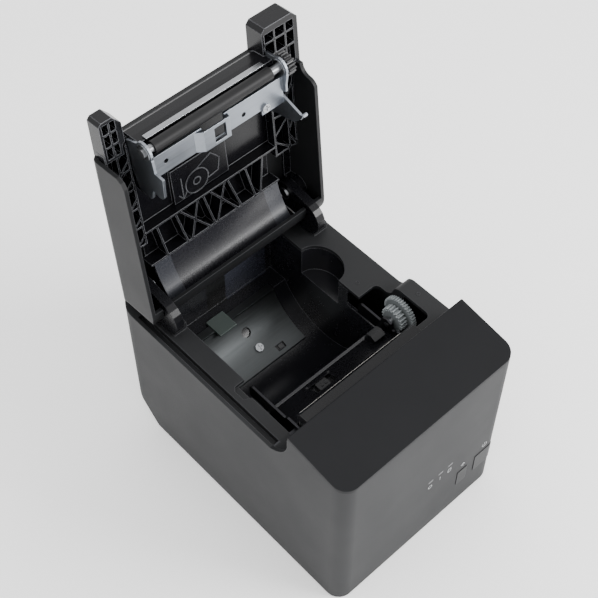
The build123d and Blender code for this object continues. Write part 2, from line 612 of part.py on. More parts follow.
with BuildPart() as main_case:
    with BuildSketch(level(0)):
        RectangleRounded(CASE_WIDTH, CASE_DEPTH, CASE_CORNER)
    extrude(amount=PANEL_REAR_Z)
    with BuildSketch(side(LEFT_X)):
        arc_start = (HINGE_Y, HINGE_Z - SWING_R)
        arc_end = under_circle(HINGE_Y, HINGE_Z, SWING_R, REAR_Y)
        arc_middle = under_circle(HINGE_Y, HINGE_Z, SWING_R, (HINGE_Y + REAR_Y) / 2)
        with BuildLine():
            Polyline((FRONT_Y, FOOT_STAND), (FRONT_Y, panel_under(FRONT_Y)),
                     (PANEL_REAR_Y, panel_under(PANEL_REAR_Y)), (PANEL_REAR_Y, SHELF_Z),
                     arc_start)
            ThreePointArc(arc_start, arc_middle, arc_end)
            Line(arc_end, (REAR_Y, CUT_TOP_Z))
            TangentArc((REAR_Y, CUT_TOP_Z), CUT_KNEE, tangent=(0, -1))
            Polyline(CUT_KNEE, (RECESS_Y, FOOT_STAND), (FRONT_Y, FOOT_STAND))
        make_face()
    extrude(amount=CASE_WIDTH, mode=Mode.INTERSECT)
    add(case_void.part, mode=Mode.SUBTRACT)

    rises = ((LEFT_X, LEFT_X + WALL, panel_under(PANEL_REAR_Y)),
             (LEFT_X + WALL, MOUTH_LEFT, RISE_TOP_Z))
    for x0, x1, top in rises:
        with BuildSketch(side(x0)):
            middle = (PANEL_REAR_Y + (LEFT_RISE_Y - PANEL_REAR_Y) * RISE_BEND,
                      SHELF_Z + (top - SHELF_Z) * RISE_BEND)
            with BuildLine():
                Polyline((LEFT_RISE_Y, SHELF_Z), (LEFT_RISE_Y, DECK_UNDER),
                         (PANEL_REAR_Y, DECK_UNDER), (PANEL_REAR_Y, top))
                ThreePointArc((PANEL_REAR_Y, top), middle, (LEFT_RISE_Y, SHELF_Z))
            make_face()
        extrude(amount=x1 - x0)
    shoulder((MOUTH_RIGHT, RIGHT_X))
    with BuildSketch(side(MOUTH_RIGHT + WALL)):
        with BuildLine():
            Polyline((SHOULDER_REAR_Y - WALL, SHOULDER_Z - DECK),
                     (PANEL_REAR_Y - WALL, SHOULDER_Z - DECK),
                     (PANEL_REAR_Y - WALL, DECK_UNDER - DECK),
                     (SHOULDER_REAR_Y - WALL, DECK_UNDER - DECK),
                     close=True)
        make_face()
    extrude(amount=RIGHT_X - MOUTH_RIGHT - 2 * WALL, mode=Mode.SUBTRACT)
    for pad_x, pad_y, pad_z in (PAD_LEFT, PAD_RIGHT):
        block(pad_x, pad_y, (DECK_UNDER, pad_z))

    block((-RECESS_HALF, RECESS_HALF), (RECESS_Y, 2 * REAR_Y), (0, RECESS_TOP_Z), Mode.SUBTRACT)
    mouth_z = (DECK_UNDER, SHELF_Z)
    bulge_x = MOUTH_LEFT - SLOT_BULGE
    bulge_soft = SLOT_BULGE / 2
    sheet(((MOUTH_LEFT, PANEL_REAR_Y), (MOUTH_LEFT, SLOT_Y[0]), (bulge_x, SLOT_Y[0] + bulge_soft),
           (bulge_x, SLOT_Y[1] - bulge_soft), (bulge_x + bulge_soft, SLOT_Y[1]),
           (BAY_LEFT, SLOT_Y[1]), (BAY_LEFT, BAY_REAR), (BAY_RIGHT, BAY_REAR),
           (BAY_RIGHT, PLATEN_Y), (MOUTH_RIGHT, PLATEN_Y), (MOUTH_RIGHT, PANEL_REAR_Y)),
          mouth_z, Mode.SUBTRACT)
    sheet(scoop_outline(0), (DECK_UNDER, SHELF_Z), Mode.SUBTRACT)
    opening((BAY_RIGHT - POCKET_ROUND, BAY_RIGHT + POCKET_WIDE), POCKET_Y,
            (DECK_UNDER, PANEL_REAR_Z), POCKET_ROUND)
    block((LEFT_X + WALL, LEFT_X + WALL + GROOVE_WIDE), (GROOVE_FRONT_Y, HINGE_Y),
          (SHELF_Z - GROOVE_DEEP, SHELF_Z), Mode.SUBTRACT)
    block((CUTTER_X[0] - CLEAR, RIGHT_PLATE + SHEET + CLEAR),
          (PANEL_REAR_Y - WALL, PANEL_REAR_Y), (DECK_UNDER, CUTTER_Z[1] + CLEAR), Mode.SUBTRACT)

    block((FEED_X[0] - CLEAR, FEED_X[1] + CLEAR), (FRONT_Y, FRONT_Y + WALL),
          (FEED_Z[0] - CLEAR, FEED_Z[1] + CLEAR), Mode.SUBTRACT)
    block((POWER_X[0] - CLEAR, POWER_X[1] + CLEAR), (FRONT_Y, FRONT_Y + CASE_CORNER / 2),
          (POWER_Z[0] - CLEAR, POWER_Z[1] + CLEAR), Mode.SUBTRACT)
    for x in LED_X:
        block((x - LED_SIZE[0] / 2, x + LED_SIZE[0] / 2), (FRONT_Y, FRONT_Y + WALL),
              (LED_Z - LED_SIZE[1] / 2, LED_Z + LED_SIZE[1] / 2), Mode.SUBTRACT)
    for socket_x, socket_z in ((INLET_X, INLET_Z), (USB_X, (SOCKET_Z, SOCKET_Z + USB_TALL)),
                               (DRAWER_X, (SOCKET_Z, SOCKET_Z + JACK_TALL)),
                               (NETWORK_X, (SOCKET_Z, SOCKET_Z + JACK_TALL))):
        block((socket_x[0] - SOCKET_GAP, socket_x[1] + SOCKET_GAP), (RECESS_Y - RECESS_WALL, RECESS_Y),
              (socket_z[0] - SOCKET_GAP, socket_z[1] + SOCKET_GAP), Mode.SUBTRACT)
    for x in (-POST_X, POST_X):
        for y in POST_Y:
            post(x, y, (FOOT_STAND + BASE_THICK, POST_TOP_Z), POST_R)
            post(x, y, (0, POST_TOP_Z - WALL), SCREW_R, mode=Mode.SUBTRACT)
finish(main_case.part, "main_case")

# Panel over the front block

with BuildPart() as front_panel:
    with BuildSketch(level(0)):
        RectangleRounded(CASE_WIDTH, CASE_DEPTH, CASE_CORNER)
    extrude(amount=2 * PANEL_REAR_Z)
    with BuildSketch(side(LEFT_X)):
        with BuildLine():
            Polyline((FRONT_Y, panel_under(FRONT_Y)), (PANEL_REAR_Y, panel_under(PANEL_REAR_Y)),
                     (PANEL_REAR_Y, PANEL_REAR_Z), (FRONT_Y, panel_under(FRONT_Y) + PANEL_THICK),
                     close=True)
        make_face()
    extrude(amount=CASE_WIDTH, mode=Mode.INTERSECT)
    fillet(front_panel.faces().sort_by(Axis.Z)[-1].edges(), PANEL_ROUND)
    for x in (LEFT_X + WALL, RIGHT_X - WALL - PANEL_TAB):
        block((x, x + PANEL_TAB), TAB_Y, (panel_under(TAB_Y[1]) - TAB_LONG, panel_under(TAB_Y[1]) + CLEAR))
finish(front_panel.part, "front_panel")

# Base cover, its feet and screws

base_rear = RECESS_Y - 2 * WALL
fit = WALL + CLEAR
with BuildPart() as base_cover:
    with BuildSketch(level(FOOT_STAND)):
        RectangleRounded(CASE_WIDTH - 2 * fit, CASE_DEPTH - 2 * fit, CASE_CORNER - fit)
    extrude(amount=BASE_THICK)
    block((LEFT_X, RIGHT_X), (base_rear, REAR_Y), (0, BOARD_Z), Mode.SUBTRACT)
    for x in (-FOOT_X, FOOT_X):
        for y in FOOT_Y:
            post(x, y, (FOOT_STAND, FOOT_STAND + FOOT_DEEP), FOOT_R, ROUND, Mode.SUBTRACT)
    for x in (-POST_X, POST_X):
        for y in POST_Y:
            post(x, y, (0, BOARD_Z), SCREW_R, mode=Mode.SUBTRACT)
            post(x, y, (FOOT_STAND, FOOT_STAND + SCREW_HEAD), SCREW_HEAD_R + CLEAR,
                 mode=Mode.SUBTRACT)
    for x in (BOARD_X[0] + STAND_IN, BOARD_X[1] - STAND_IN):
        for y in (BOARD_Y[0] + STAND_IN, BOARD_Y[1] - STAND_IN):
            post(x, y, (FOOT_STAND + BASE_THICK, BOARD_Z), POST_R / 2)
finish(base_cover.part, "base_cover")

with BuildPart() as rubber_feet:
    for x in (-FOOT_X, FOOT_X):
        for y in FOOT_Y:
            post(x, y, (0, FOOT_STAND + FOOT_DEEP), FOOT_R, ROUND)
    chamfer(rubber_feet.edges().group_by(Axis.Z)[0], FOOT_STAND / 3)
finish(rubber_feet.part, "rubber_feet")

with BuildPart() as base_screws:
    for x in (-POST_X, POST_X):
        for y in POST_Y:
            post(x, y, (FOOT_STAND, FOOT_STAND + SCREW_HEAD), SCREW_HEAD_R)
            post(x, y, (FOOT_STAND, FOOT_STAND + SCREW_HEAD + SCREW_LONG), SCREW_R)
            cross_recess(Location((x, y, FOOT_STAND)))
finish(base_screws.part, "base_screws")

# Roll bay: a sheet bucket with an arc shaped cradle, open at the top

outer_r = CRADLE_R + BAY_WALL
lip_y = ROLL_Y + math.sqrt(CRADLE_R ** 2 - (ROLL_Z - BAY_LIP_Z) ** 2)
under_lip_y = ROLL_Y + math.sqrt(outer_r ** 2 - (ROLL_Z - BAY_LIP_Z + BAY_WALL) ** 2)
with BuildPart() as roll_bay:
    with BuildSketch(side(BAY_LEFT - BAY_WALL)):
        start = (under_lip_y, BAY_LIP_Z - BAY_WALL)
        end = under_circle(ROLL_Y, ROLL_Z, outer_r, BAY_FRONT - BAY_WALL)
        with BuildLine():
            Polyline(end, (BAY_FRONT - BAY_WALL, BAY_FRONT_Z), (BAY_SIDE_Y, BAY_FRONT_Z),
                     (BAY_SIDE_Y, DECK_UNDER), (BAY_REAR + BAY_WALL, DECK_UNDER),
                     (BAY_REAR + BAY_WALL, BAY_LIP_Z - BAY_WALL), start)
            ThreePointArc(start, (ROLL_Y, ROLL_Z - outer_r), end)
        make_face()
    extrude(amount=BAY_RIGHT - BAY_LEFT + 2 * BAY_WALL)
    with BuildSketch(side(BAY_LEFT)):
        start = (lip_y, BAY_LIP_Z)
        end = under_circle(ROLL_Y, ROLL_Z, CRADLE_R, BAY_FRONT)
        with BuildLine():
            Polyline(end, (BAY_FRONT, SHELF_Z), (BAY_REAR, SHELF_Z), (BAY_REAR, BAY_LIP_Z), start)
            ThreePointArc(start, (ROLL_Y, ROLL_Z - CRADLE_R), end)
        make_face()
    extrude(amount=BAY_RIGHT - BAY_LEFT, mode=Mode.SUBTRACT)
    block((MOUTH_LEFT, BAY_LEFT - BAY_WALL), (BAY_SIDE_Y, BAY_REAR + BAY_WALL),
          (DECK_UNDER - BAY_WALL, DECK_UNDER))
    block((BAY_RIGHT + BAY_WALL, BAY_RIGHT + BAY_WALL + FLANGE_WIDE), (BAY_SIDE_Y, BAY_REAR + BAY_WALL),
          (DECK_UNDER - BAY_WALL, DECK_UNDER))
    sheet(scoop_outline(BAY_WALL), (SCOOP_FLOOR_Z - BAY_WALL, DECK_UNDER))
    sheet(scoop_outline(0), (SCOOP_FLOOR_Z, SHELF_Z), Mode.SUBTRACT)
    block((PATH_X, BAY_RIGHT), (SCOOP_Y - 2 * SCOOP_LONG, SCOOP_Y + 2 * SCOOP_LONG),
          (SCOOP_FLOOR_Z - 2 * BAY_WALL, SHELF_Z), Mode.SUBTRACT)
    with Locations(on_cradle(0, SCREW_TURN, CRADLE_R)):
        Box(2 * SCREW_R, 2 * SCREW_R, 4 * BAY_WALL, mode=Mode.SUBTRACT)
    with Locations(on_cradle(*PEG_PLACE, CRADLE_R - HOLDER_THICK / 2)):
        Box(PEG_WIDE, PEG_WIDE, HOLDER_THICK + 1)
finish(roll_bay.part, "roll_bay")

# Roll holder on the cradle, with its stop and screw

holder_r = CRADLE_R - HOLDER_THICK
with BuildPart() as roll_holder:
    with BuildSketch(side(BAY_LEFT)):
        rear_out = (lip_y, BAY_LIP_Z)
        rear_in = (ROLL_Y + math.sqrt(holder_r ** 2 - (ROLL_Z - BAY_LIP_Z) ** 2), BAY_LIP_Z)
        front_out = under_circle(ROLL_Y, ROLL_Z, CRADLE_R, HOLDER_FRONT_Y)
        front_in = under_circle(ROLL_Y, ROLL_Z, holder_r, HOLDER_FRONT_Y)
        with BuildLine():
            ThreePointArc(rear_out, under_circle(ROLL_Y, ROLL_Z, CRADLE_R, ROLL_Y + CRADLE_R / 2),
                          front_out)
            Line(front_out, front_in)
            ThreePointArc(front_in, under_circle(ROLL_Y, ROLL_Z, holder_r, ROLL_Y + CRADLE_R / 2),
                          rear_in)
            Line(rear_in, rear_out)
        make_face()
    extrude(amount=HOLDER_RIGHT - BAY_LEFT)
    block((BAY_LEFT, HOLDER_RIGHT), (rear_in[0], lip_y + 2 * BAY_WALL),
          (BAY_LIP_Z, BAY_LIP_Z + HOLDER_THICK))
    block(STOP_X, (STOP_Y[0] + STOP_STEM, lip_y + 3 * BAY_WALL),
          (ROLL_Z - CRADLE_R, STOP_TOP_Z + SHEET), Mode.SUBTRACT)
    with Locations(on_cradle(0, SCREW_TURN, CRADLE_R)):
        Box(2 * SCREW_R, 2 * SCREW_R, 4 * HOLDER_THICK, mode=Mode.SUBTRACT)
    with BuildSketch(Plane(on_cradle(*HOLE_PLACE, CRADLE_R))) as hole:
        RegularPolygon(HOLE_WIDE, ROUND)
    extrude(hole.sketch, amount=2 * HOLDER_THICK, both=True, mode=Mode.SUBTRACT)
    with BuildSketch(Plane(on_cradle(*PEG_PLACE, CRADLE_R))) as hole:
        Rectangle(2 * PEG_WIDE, PEG_WIDE + 1)
    extrude(hole.sketch, amount=2 * HOLDER_THICK, both=True, mode=Mode.SUBTRACT)
finish(roll_holder.part, "roll_holder")

with BuildPart() as roll_stop:
    stem_y = STOP_Y[0] + STOP_STEM + CLEAR
    low = under_circle(ROLL_Y, ROLL_Z, CRADLE_R, stem_y)
    slab((STOP_X[0] + CLEAR, STOP_X[1] - CLEAR),
         (low, (stem_y, STOP_TOP_Z - SHEET), (STOP_Y[0], STOP_TOP_Z - SHEET),
          (STOP_Y[0], STOP_TOP_Z), (STOP_Y[1], STOP_TOP_Z), (STOP_Y[1], BAY_LIP_Z),
          (lip_y, BAY_LIP_Z)))
    with BuildSketch(side(STOP_X[0])) as bucket:
        with Locations((ROLL_Y, ROLL_Z)):
            Circle(CRADLE_R)
        with Locations((REAR_Y, BAY_LIP_Z)):
            Rectangle(2 * (REAR_Y - lip_y), 2 * CRADLE_R, align=(Align.CENTER, Align.MIN))
    extrude(bucket.sketch, amount=STOP_X[1] - STOP_X[0], mode=Mode.INTERSECT)
finish(roll_stop.part, "roll_stop")

with BuildPart() as holder_screw:
    head_place = on_cradle(0, SCREW_TURN, holder_r - SCREW_RISE)
    post(0, 0, (0, SCREW_HEAD), SCREW_HEAD_R, place=head_place)
    with Locations(head_place):
        Box(2 * SCREW_R - 2 * RUN_GAP, 2 * SCREW_R - 2 * RUN_GAP, 2 * HOLDER_THICK)
    cross_recess(head_place * Location((0, 0, SCREW_HEAD), (180, 0, 0)))
finish(holder_screw.part, "holder_screw")

# Mechanism frame: two side plates on a cross plate, hung under the deck by flanges

centre_gap = (PLATEN_TEETH + SMALL_TEETH) * PLATEN_MODULE / 2
compound_y = PLATEN_Y + centre_gap * math.cos(math.radians(COMPOUND_TURN))
compound_z = PLATEN_Z + centre_gap * math.sin(math.radians(COMPOUND_TURN))
big_r = BIG_TEETH * DRIVE_MODULE / 2
reduction_r = REDUCTION_TEETH * DRIVE_MODULE / 2
pinion_r = PINION_TEETH * DRIVE_MODULE / 2
reach = math.dist((MOTOR_Y, MOTOR_Z), (compound_y, compound_z))
line_y = (compound_y - MOTOR_Y) / reach
line_z = (compound_z - MOTOR_Z) / reach
far = big_r + reduction_r
near = reduction_r + pinion_r
along = (near ** 2 - far ** 2 + reach ** 2) / (2 * reach)
across = math.sqrt(near ** 2 - along ** 2)
reduction_y = MOTOR_Y + along * line_y + across * line_z
reduction_z = MOTOR_Z + along * line_z - across * line_y

with BuildPart() as mechanism_frame:
    outline = ((CUTTER_FRONT_Y, SINK_Z), (CUTTER_FRONT_Y, CUTTER_Z[0]),
               (CUTTER_REAR_Y, CUTTER_Z[0]), (FRAME_Y[0], FRAME_TOP_Z),
               (ARM_STEP_Y[0], FRAME_TOP_Z), (ARM_STEP_Y[1], ARM_Z[1]),
               (ARM_REAR_Y - 2, ARM_Z[1]), (ARM_REAR_Y, ARM_Z[1] - 2),
               (ARM_REAR_Y, ARM_Z[0]), (FRAME_Y[1], ARM_Z[0]), (FRAME_Y[1], FRAME_FLOOR_Z),
               (FRAME_Y[0], FRAME_FLOOR_Z), (FRAME_Y[0], SINK_Z))
    for x in (LEFT_PLATE, RIGHT_PLATE):
        slab((x, x + SHEET), outline)
    block((LEFT_PLATE, RIGHT_PLATE + SHEET), (FRAME_Y[0], FRAME_Y[1]),
          (FRAME_FLOOR_Z, FRAME_FLOOR_Z + SHEET))
    left_seat = DECK_UNDER - GROOVE_DEEP
    block((LEFT_X + 3 * WALL, LEFT_PLATE + SHEET), (FRAME_Y[0], PLATEN_Y - 3),
          (left_seat - SHEET, left_seat))
    block((RIGHT_PLATE, RIGHT_X - 4 * WALL), (FRAME_Y[0], POCKET_Y[0] - 1),
          (DECK_UNDER - SHEET, DECK_UNDER))
    faceted_rod((RIGHT_PLATE, RIGHT_PLATE + SHEET), compound_y, compound_z, MOTOR_PILOT_R)
    faceted_rod((RIGHT_PLATE, RIGHT_PLATE + SHEET), compound_y, compound_z, AXLE_R,
                mode=Mode.SUBTRACT)
    faceted_rod((RIGHT_PLATE, RIGHT_PLATE + SHEET), reduction_y, reduction_z, AXLE_R,
                mode=Mode.SUBTRACT)
    faceted_rod((RIGHT_PLATE, RIGHT_PLATE + SHEET), MOTOR_Y, MOTOR_Z, MOTOR_PILOT_R,
                mode=Mode.SUBTRACT)
finish(mechanism_frame.part, "mechanism_frame")

# Paper guide between the side plates, with the sensor in its window

guide_in = (LEFT_PLATE + SHEET, RIGHT_PLATE)
with BuildPart() as paper_guide:
    slab(guide_in, ((GUIDE_REAR[0], GUIDE_REAR[1] - GUIDE_SHEET - 1),
                    (GUIDE_REAR[0] - 3, GUIDE_REAR[1] - GUIDE_SHEET - 1),
                    (GUIDE_FRONT_Y, GUIDE_TOP_Z - GUIDE_SHEET), (GUIDE_FRONT_Y, GUIDE_TOP_Z),
                    GUIDE_REAR))
    block(WELL_X, WELL_Y, (WELL_FLOOR_Z - 4 * SHEET, GUIDE_TOP_Z), Mode.SUBTRACT)
    opening(WINDOW_X, WINDOW_Y, (GUIDE_REAR[1] - 2 * GUIDE_SHEET, GUIDE_TOP_Z), SHEET)
    rest_x = (WELL_X[0] - SHEET, WELL_X[1] + SHEET)
    rest_y = (WELL_Y[0] - SHEET, WELL_Y[1] + SHEET)
    block(rest_x, rest_y, (WELL_FLOOR_Z - SHEET, WELL_FLOOR_Z))
    for x in ((rest_x[0], WELL_X[0]), (WELL_X[1], rest_x[1])):
        block(x, rest_y, (WELL_FLOOR_Z, WELL_FLOOR_Z + 2 * SHEET))
    slab((guide_in[1] - LUMP_OUT[0], guide_in[1] - LUMP_OUT[1]),
         (*LUMP_FORM, (GUIDE_REAR[0], GUIDE_REAR[1] + 2 * GUIDE_SHEET), GUIDE_REAR,
          (GUIDE_REAR[0], GUIDE_REAR[1] - GUIDE_SHEET)))
finish(paper_guide.part, "paper_guide")

with BuildPart() as paper_sensor:
    block((WELL_X[0] + 4, WELL_X[1] - 4), (WELL_Y[0] + 1, WELL_Y[1] - 1),
          (WELL_FLOOR_Z, WELL_FLOOR_Z + SENSOR_TALL))
    sensor_top = WELL_FLOOR_Z + SENSOR_TALL
    for x in SENSOR_EYES:
        block((x, x + SHEET), (WELL_Y[0] + 3, WELL_Y[1] - 3), (sensor_top, sensor_top + EYE_PROUD))
finish(paper_sensor.part, "paper_sensor")

# Print head: the ceramic on its heat sink, a line away from the closed platen

head_y = PLATEN_Y - RUBBER_R - HEAD_GAP
with BuildPart() as thermal_head:
    block(HEAD_X, (head_y - HEAD_THICK, head_y), HEAD_Z)
    block((HEAD_X[0] + 4, HEAD_X[1] - 4), (head_y, head_y + HEAD_THICK / 2),
          HEAT_LINE_Z)
finish(thermal_head.part, "thermal_head")

with BuildPart() as head_heatsink:
    block((HEAD_X[0] - SINK_MARGIN, HEAD_X[1] + SINK_MARGIN),
          (head_y - HEAD_THICK - SINK_THICK, head_y - HEAD_THICK),
          (SINK_Z, HEAD_Z[1]))
    block(guide_in, (head_y - HEAD_THICK - SINK_THICK, head_y - HEAD_THICK),
          (SINK_Z, SINK_Z + SINK_FOOT))
    sink_front = head_y - HEAD_THICK - SINK_THICK
    for up in SINK_GROOVES:
        block(HEAD_X, (sink_front, sink_front + SINK_GROOVE[0]),
              (HEAD_Z[0] + up, HEAD_Z[0] + up + SINK_GROOVE[1]), Mode.SUBTRACT)
finish(head_heatsink.part, "head_heatsink")

# Cutter with its sliding blade

with BuildPart() as cutter_frame:
    block(CUTTER_X, (CUTTER_FRONT_Y, CUTTER_REAR_Y), CUTTER_Z)
    slab(CUTTER_X, ((CUTTER_REAR_Y, NOSE_Z), (CUTTER_NOSE_Y - 1, NOSE_Z), (CUTTER_NOSE_Y, NOSE_Z + 1),
                    (CUTTER_NOSE_Y, CUTTER_Z[1] - 2), (CUTTER_NOSE_Y - 2, CUTTER_Z[1]),
                    (CUTTER_REAR_Y, CUTTER_Z[1])))
    block((BLADE_X[0] - CLEAR, BLADE_X[1] + CLEAR),
          (BLADE_REST_Y - BLADE_DEEP - CLEAR, CUTTER_NOSE_Y),
          (BLADE_Z - CLEAR, BLADE_Z + BLADE_THICK + CLEAR), Mode.SUBTRACT)
    for x in (BLADE_X[0] + RAIL_BLADE[0], BLADE_X[1] - RAIL_BLADE[0]):
        block((x - 3, x + 3), (BLADE_REST_Y - BLADE_DEEP, BLADE_REST_Y - RAIL_BLADE[1]),
              (BLADE_Z - CLEAR, BLADE_Z - RUN_GAP))
finish(cutter_frame.part, "cutter_frame")

with BuildPart() as cutter_blade:
    block(BLADE_X, (BLADE_REST_Y - BLADE_DEEP, BLADE_REST_Y), (BLADE_Z, BLADE_Z + BLADE_THICK))
finish(cutter_blade.part, "cutter_blade")

# Gear train and its motor

platen_centre = (PLATEN_Y, PLATEN_Z)
compound_centre = (compound_y, compound_z)
reduction_centre = (reduction_y, reduction_z)
motor_centre = (MOTOR_Y, MOTOR_Z)
small_phase = mesh_phase(platen_centre, compound_centre, SMALL_TEETH, PLATEN_TEETH, 0)
reduction_phase = mesh_phase(compound_centre, reduction_centre, REDUCTION_TEETH, BIG_TEETH,
                             small_phase)
pinion_phase = mesh_phase(reduction_centre, motor_centre, PINION_TEETH, REDUCTION_TEETH,
                          reduction_phase)

with BuildPart() as compound_gear:
    gear(GEAR_X, compound_centre, SMALL_TEETH, PLATEN_MODULE, small_phase, 3)
    gear(DRIVE_X, compound_centre, BIG_TEETH, DRIVE_MODULE, small_phase, 2)
    faceted_rod((GEAR_X[1], DRIVE_X[0]), compound_y, compound_z, MOTOR_PILOT_R, ROUND)
    rod((GEAR_X[0], DRIVE_X[1]), compound_y, compound_z, AXLE_R + RUN_GAP, Mode.SUBTRACT)
finish(compound_gear.part, "compound_gear")

with BuildPart() as reduction_gear:
    gear(DRIVE_X, reduction_centre, REDUCTION_TEETH, DRIVE_MODULE, reduction_phase, 2)
    faceted_rod((GEAR_X[0], DRIVE_X[0]), reduction_y, reduction_z, 2 * AXLE_R)
    rod((GEAR_X[0], DRIVE_X[1]), reduction_y, reduction_z, AXLE_R + RUN_GAP, Mode.SUBTRACT)
finish(reduction_gear.part, "reduction_gear")

with BuildPart() as motor_pinion:
    gear(DRIVE_X, motor_centre, PINION_TEETH, DRIVE_MODULE, pinion_phase, 2)
    rod((RIGHT_PLATE - MOTOR_SHAFT_IN, DRIVE_X[1]), MOTOR_Y, MOTOR_Z, MOTOR_SHAFT_R)
finish(motor_pinion.part, "motor_pinion")

with BuildPart() as feed_motor:
    faceted_rod((MOTOR_X, RIGHT_PLATE), MOTOR_Y, MOTOR_Z, MOTOR_R, ROUND)
    faceted_rod((RIGHT_PLATE, RIGHT_PLATE + SHEET), MOTOR_Y, MOTOR_Z, MOTOR_PILOT_R)
    rod((RIGHT_PLATE - MOTOR_SHAFT_IN - 1, RIGHT_PLATE + SHEET), MOTOR_Y, MOTOR_Z,
        MOTOR_SHAFT_R + RUN_GAP, Mode.SUBTRACT)
finish(feed_motor.part, "feed_motor")

with BuildPart() as gear_pins:
    for y, z in (compound_centre, reduction_centre):
        faceted_rod((RIGHT_PLATE, RIGHT_PLATE + SHEET), y, z, AXLE_R)
        rod((RIGHT_PLATE + SHEET, AXLE_END), y, z, AXLE_R)
        faceted_rod((DRIVE_X[1] + CLEAR, AXLE_END), y, z, AXLE_R + 1)
finish(gear_pins.part, "gear_pins")

# Front controls with their board

inner_wall_y = FRONT_Y + WALL
flange_y = inner_wall_y + CLEAR
board_y = inner_wall_y + BOARD_GAP
with BuildPart() as panel_board:
    block((LED_X[0] - BOARD_MARGIN, POWER_X[1] - 2), (board_y, board_y + BOARD),
          (FEED_Z[0] - 3, LED_Z + BOARD_MARGIN))
    for low, high, tall in ((FEED_X[0], FEED_X[1], FEED_Z), (POWER_X[0], POWER_X[1], POWER_Z)):
        middle = (low + high) / 2
        centre_z = (tall[0] + tall[1]) / 2
        block((middle - SWITCH_HALF, middle + SWITCH_HALF), (board_y - SWITCH_TALL, board_y),
              (centre_z - SWITCH_HALF, centre_z + SWITCH_HALF))
finish(panel_board.part, "panel_board")

with BuildPart() as light_pipes:
    for x in LED_X:
        block((x - LED_SIZE[0] / 2, x + LED_SIZE[0] / 2), (FRONT_Y, board_y),
              (LED_Z - LED_SIZE[1] / 2, LED_Z + LED_SIZE[1] / 2))
finish(light_pipes.part, "light_pipes")

with BuildPart() as feed_button:
    block(FEED_X, (FRONT_Y - BUTTON_PROUD, flange_y + FLANGE_THICK), FEED_Z)
    block((FEED_X[0] - BUTTON_FLANGE, FEED_X[1] + BUTTON_FLANGE),
          (flange_y, flange_y + FLANGE_THICK), (FEED_Z[0] - BUTTON_FLANGE, FEED_Z[1] + BUTTON_FLANGE))
finish(feed_button.part, "feed_button")

with BuildPart() as power_button:
    with BuildSketch(level(POWER_Z[0])):
        RectangleRounded(CASE_WIDTH + 2 * BUTTON_PROUD, CASE_DEPTH + 2 * BUTTON_PROUD,
                         CASE_CORNER + BUTTON_PROUD)
    extrude(amount=POWER_Z[1] - POWER_Z[0])
    block(POWER_X, (2 * FRONT_Y, flange_y + FLANGE_THICK), POWER_Z, Mode.INTERSECT)
    block((POWER_X[0] - BUTTON_FLANGE, RIGHT_X - CASE_CORNER), (flange_y, flange_y + FLANGE_THICK),
          (POWER_Z[0] - BUTTON_FLANGE, POWER_Z[1] + BUTTON_FLANGE))
finish(power_button.part, "power_button")

# Boards and sockets inside the base

with BuildPart() as main_board:
    block(BOARD_X, BOARD_Y, (BOARD_Z, BOARD_Z + BOARD))
    for right, back, tall in CHIPS:
        x = BOARD_X[0] + right
        y = BOARD_Y[0] + back
        block((x - CHIP_HALF[0], x + CHIP_HALF[0]), (y - CHIP_HALF[1], y + CHIP_HALF[1]),
              (BOARD_Z + BOARD, BOARD_Z + BOARD + tall))
finish(main_board.part, "main_board")

with BuildPart() as power_supply:
    block(SUPPLY_X, SUPPLY_Y, (FOOT_STAND + BASE_THICK, SUPPLY_TOP_Z))
finish(power_supply.part, "power_supply")

with BuildPart() as power_inlet:
    block(INLET_X, (SOCKET_REAR_Y, SOCKET_FACE_Y), INLET_Z)
    block((INLET_X[0] + INLET_RIM[0], INLET_X[1] - INLET_RIM[0]),
          (SOCKET_FACE_Y - INLET_DEEP, SOCKET_FACE_Y),
          (INLET_Z[0] + INLET_RIM[1], INLET_Z[1] - INLET_RIM[1]), Mode.SUBTRACT)
    block((INLET_X[0] + INLET_CORE, INLET_X[1] - INLET_CORE),
          (SOCKET_FACE_Y - INLET_DEEP, SOCKET_FACE_Y - 1),
          (INLET_Z[0] + INLET_CORE, INLET_Z[1] - INLET_CORE))
    for out, up in PRONGS:
        x = (INLET_X[0] + INLET_X[1]) / 2 + out
        z = INLET_Z[0] + up
        block((x - PRONG_HOLE[0], x + PRONG_HOLE[0]),
              (SOCKET_FACE_Y - PRONG_HOLE[2], SOCKET_FACE_Y - 1),
              (z - PRONG_HOLE[1], z + PRONG_HOLE[1]), Mode.SUBTRACT)
        block((x - PRONG_HALF[0], x + PRONG_HALF[0]),
              (SOCKET_FACE_Y - INLET_DEEP, SOCKET_FACE_Y - 2),
              (z - PRONG_HALF[1], z + PRONG_HALF[1]))
finish(power_inlet.part, "power_inlet")

for name, socket_x, tall, mouth in SOCKETS:
    with BuildPart() as socket:
        block(socket_x, (SOCKET_REAR_Y, SOCKET_FACE_Y), (SOCKET_Z, SOCKET_Z + tall))
        block((socket_x[0] + mouth[0], socket_x[1] - mouth[0]),
              (SOCKET_FACE_Y - PLUG_DEEP, SOCKET_FACE_Y),
              (SOCKET_Z + mouth[1], SOCKET_Z + tall - mouth[1]), Mode.SUBTRACT)
        if name == "usb_port":
            block((socket_x[0] + TONGUE[0], socket_x[1] - TONGUE[0]),
                  (SOCKET_FACE_Y - PLUG_DEEP, SOCKET_FACE_Y - 1),
                  (SOCKET_Z + TONGUE[1], SOCKET_Z + tall - TONGUE[1]))
        else:
            block((socket_x[0] + LATCH_IN, socket_x[1] - LATCH_IN),
                  (SOCKET_FACE_Y - PLUG_DEEP, SOCKET_FACE_Y),
                  (SOCKET_Z + tall - mouth[1], SOCKET_Z + tall - 1), Mode.SUBTRACT)
    finish(socket.part, name)

# Hinge brackets on the deck

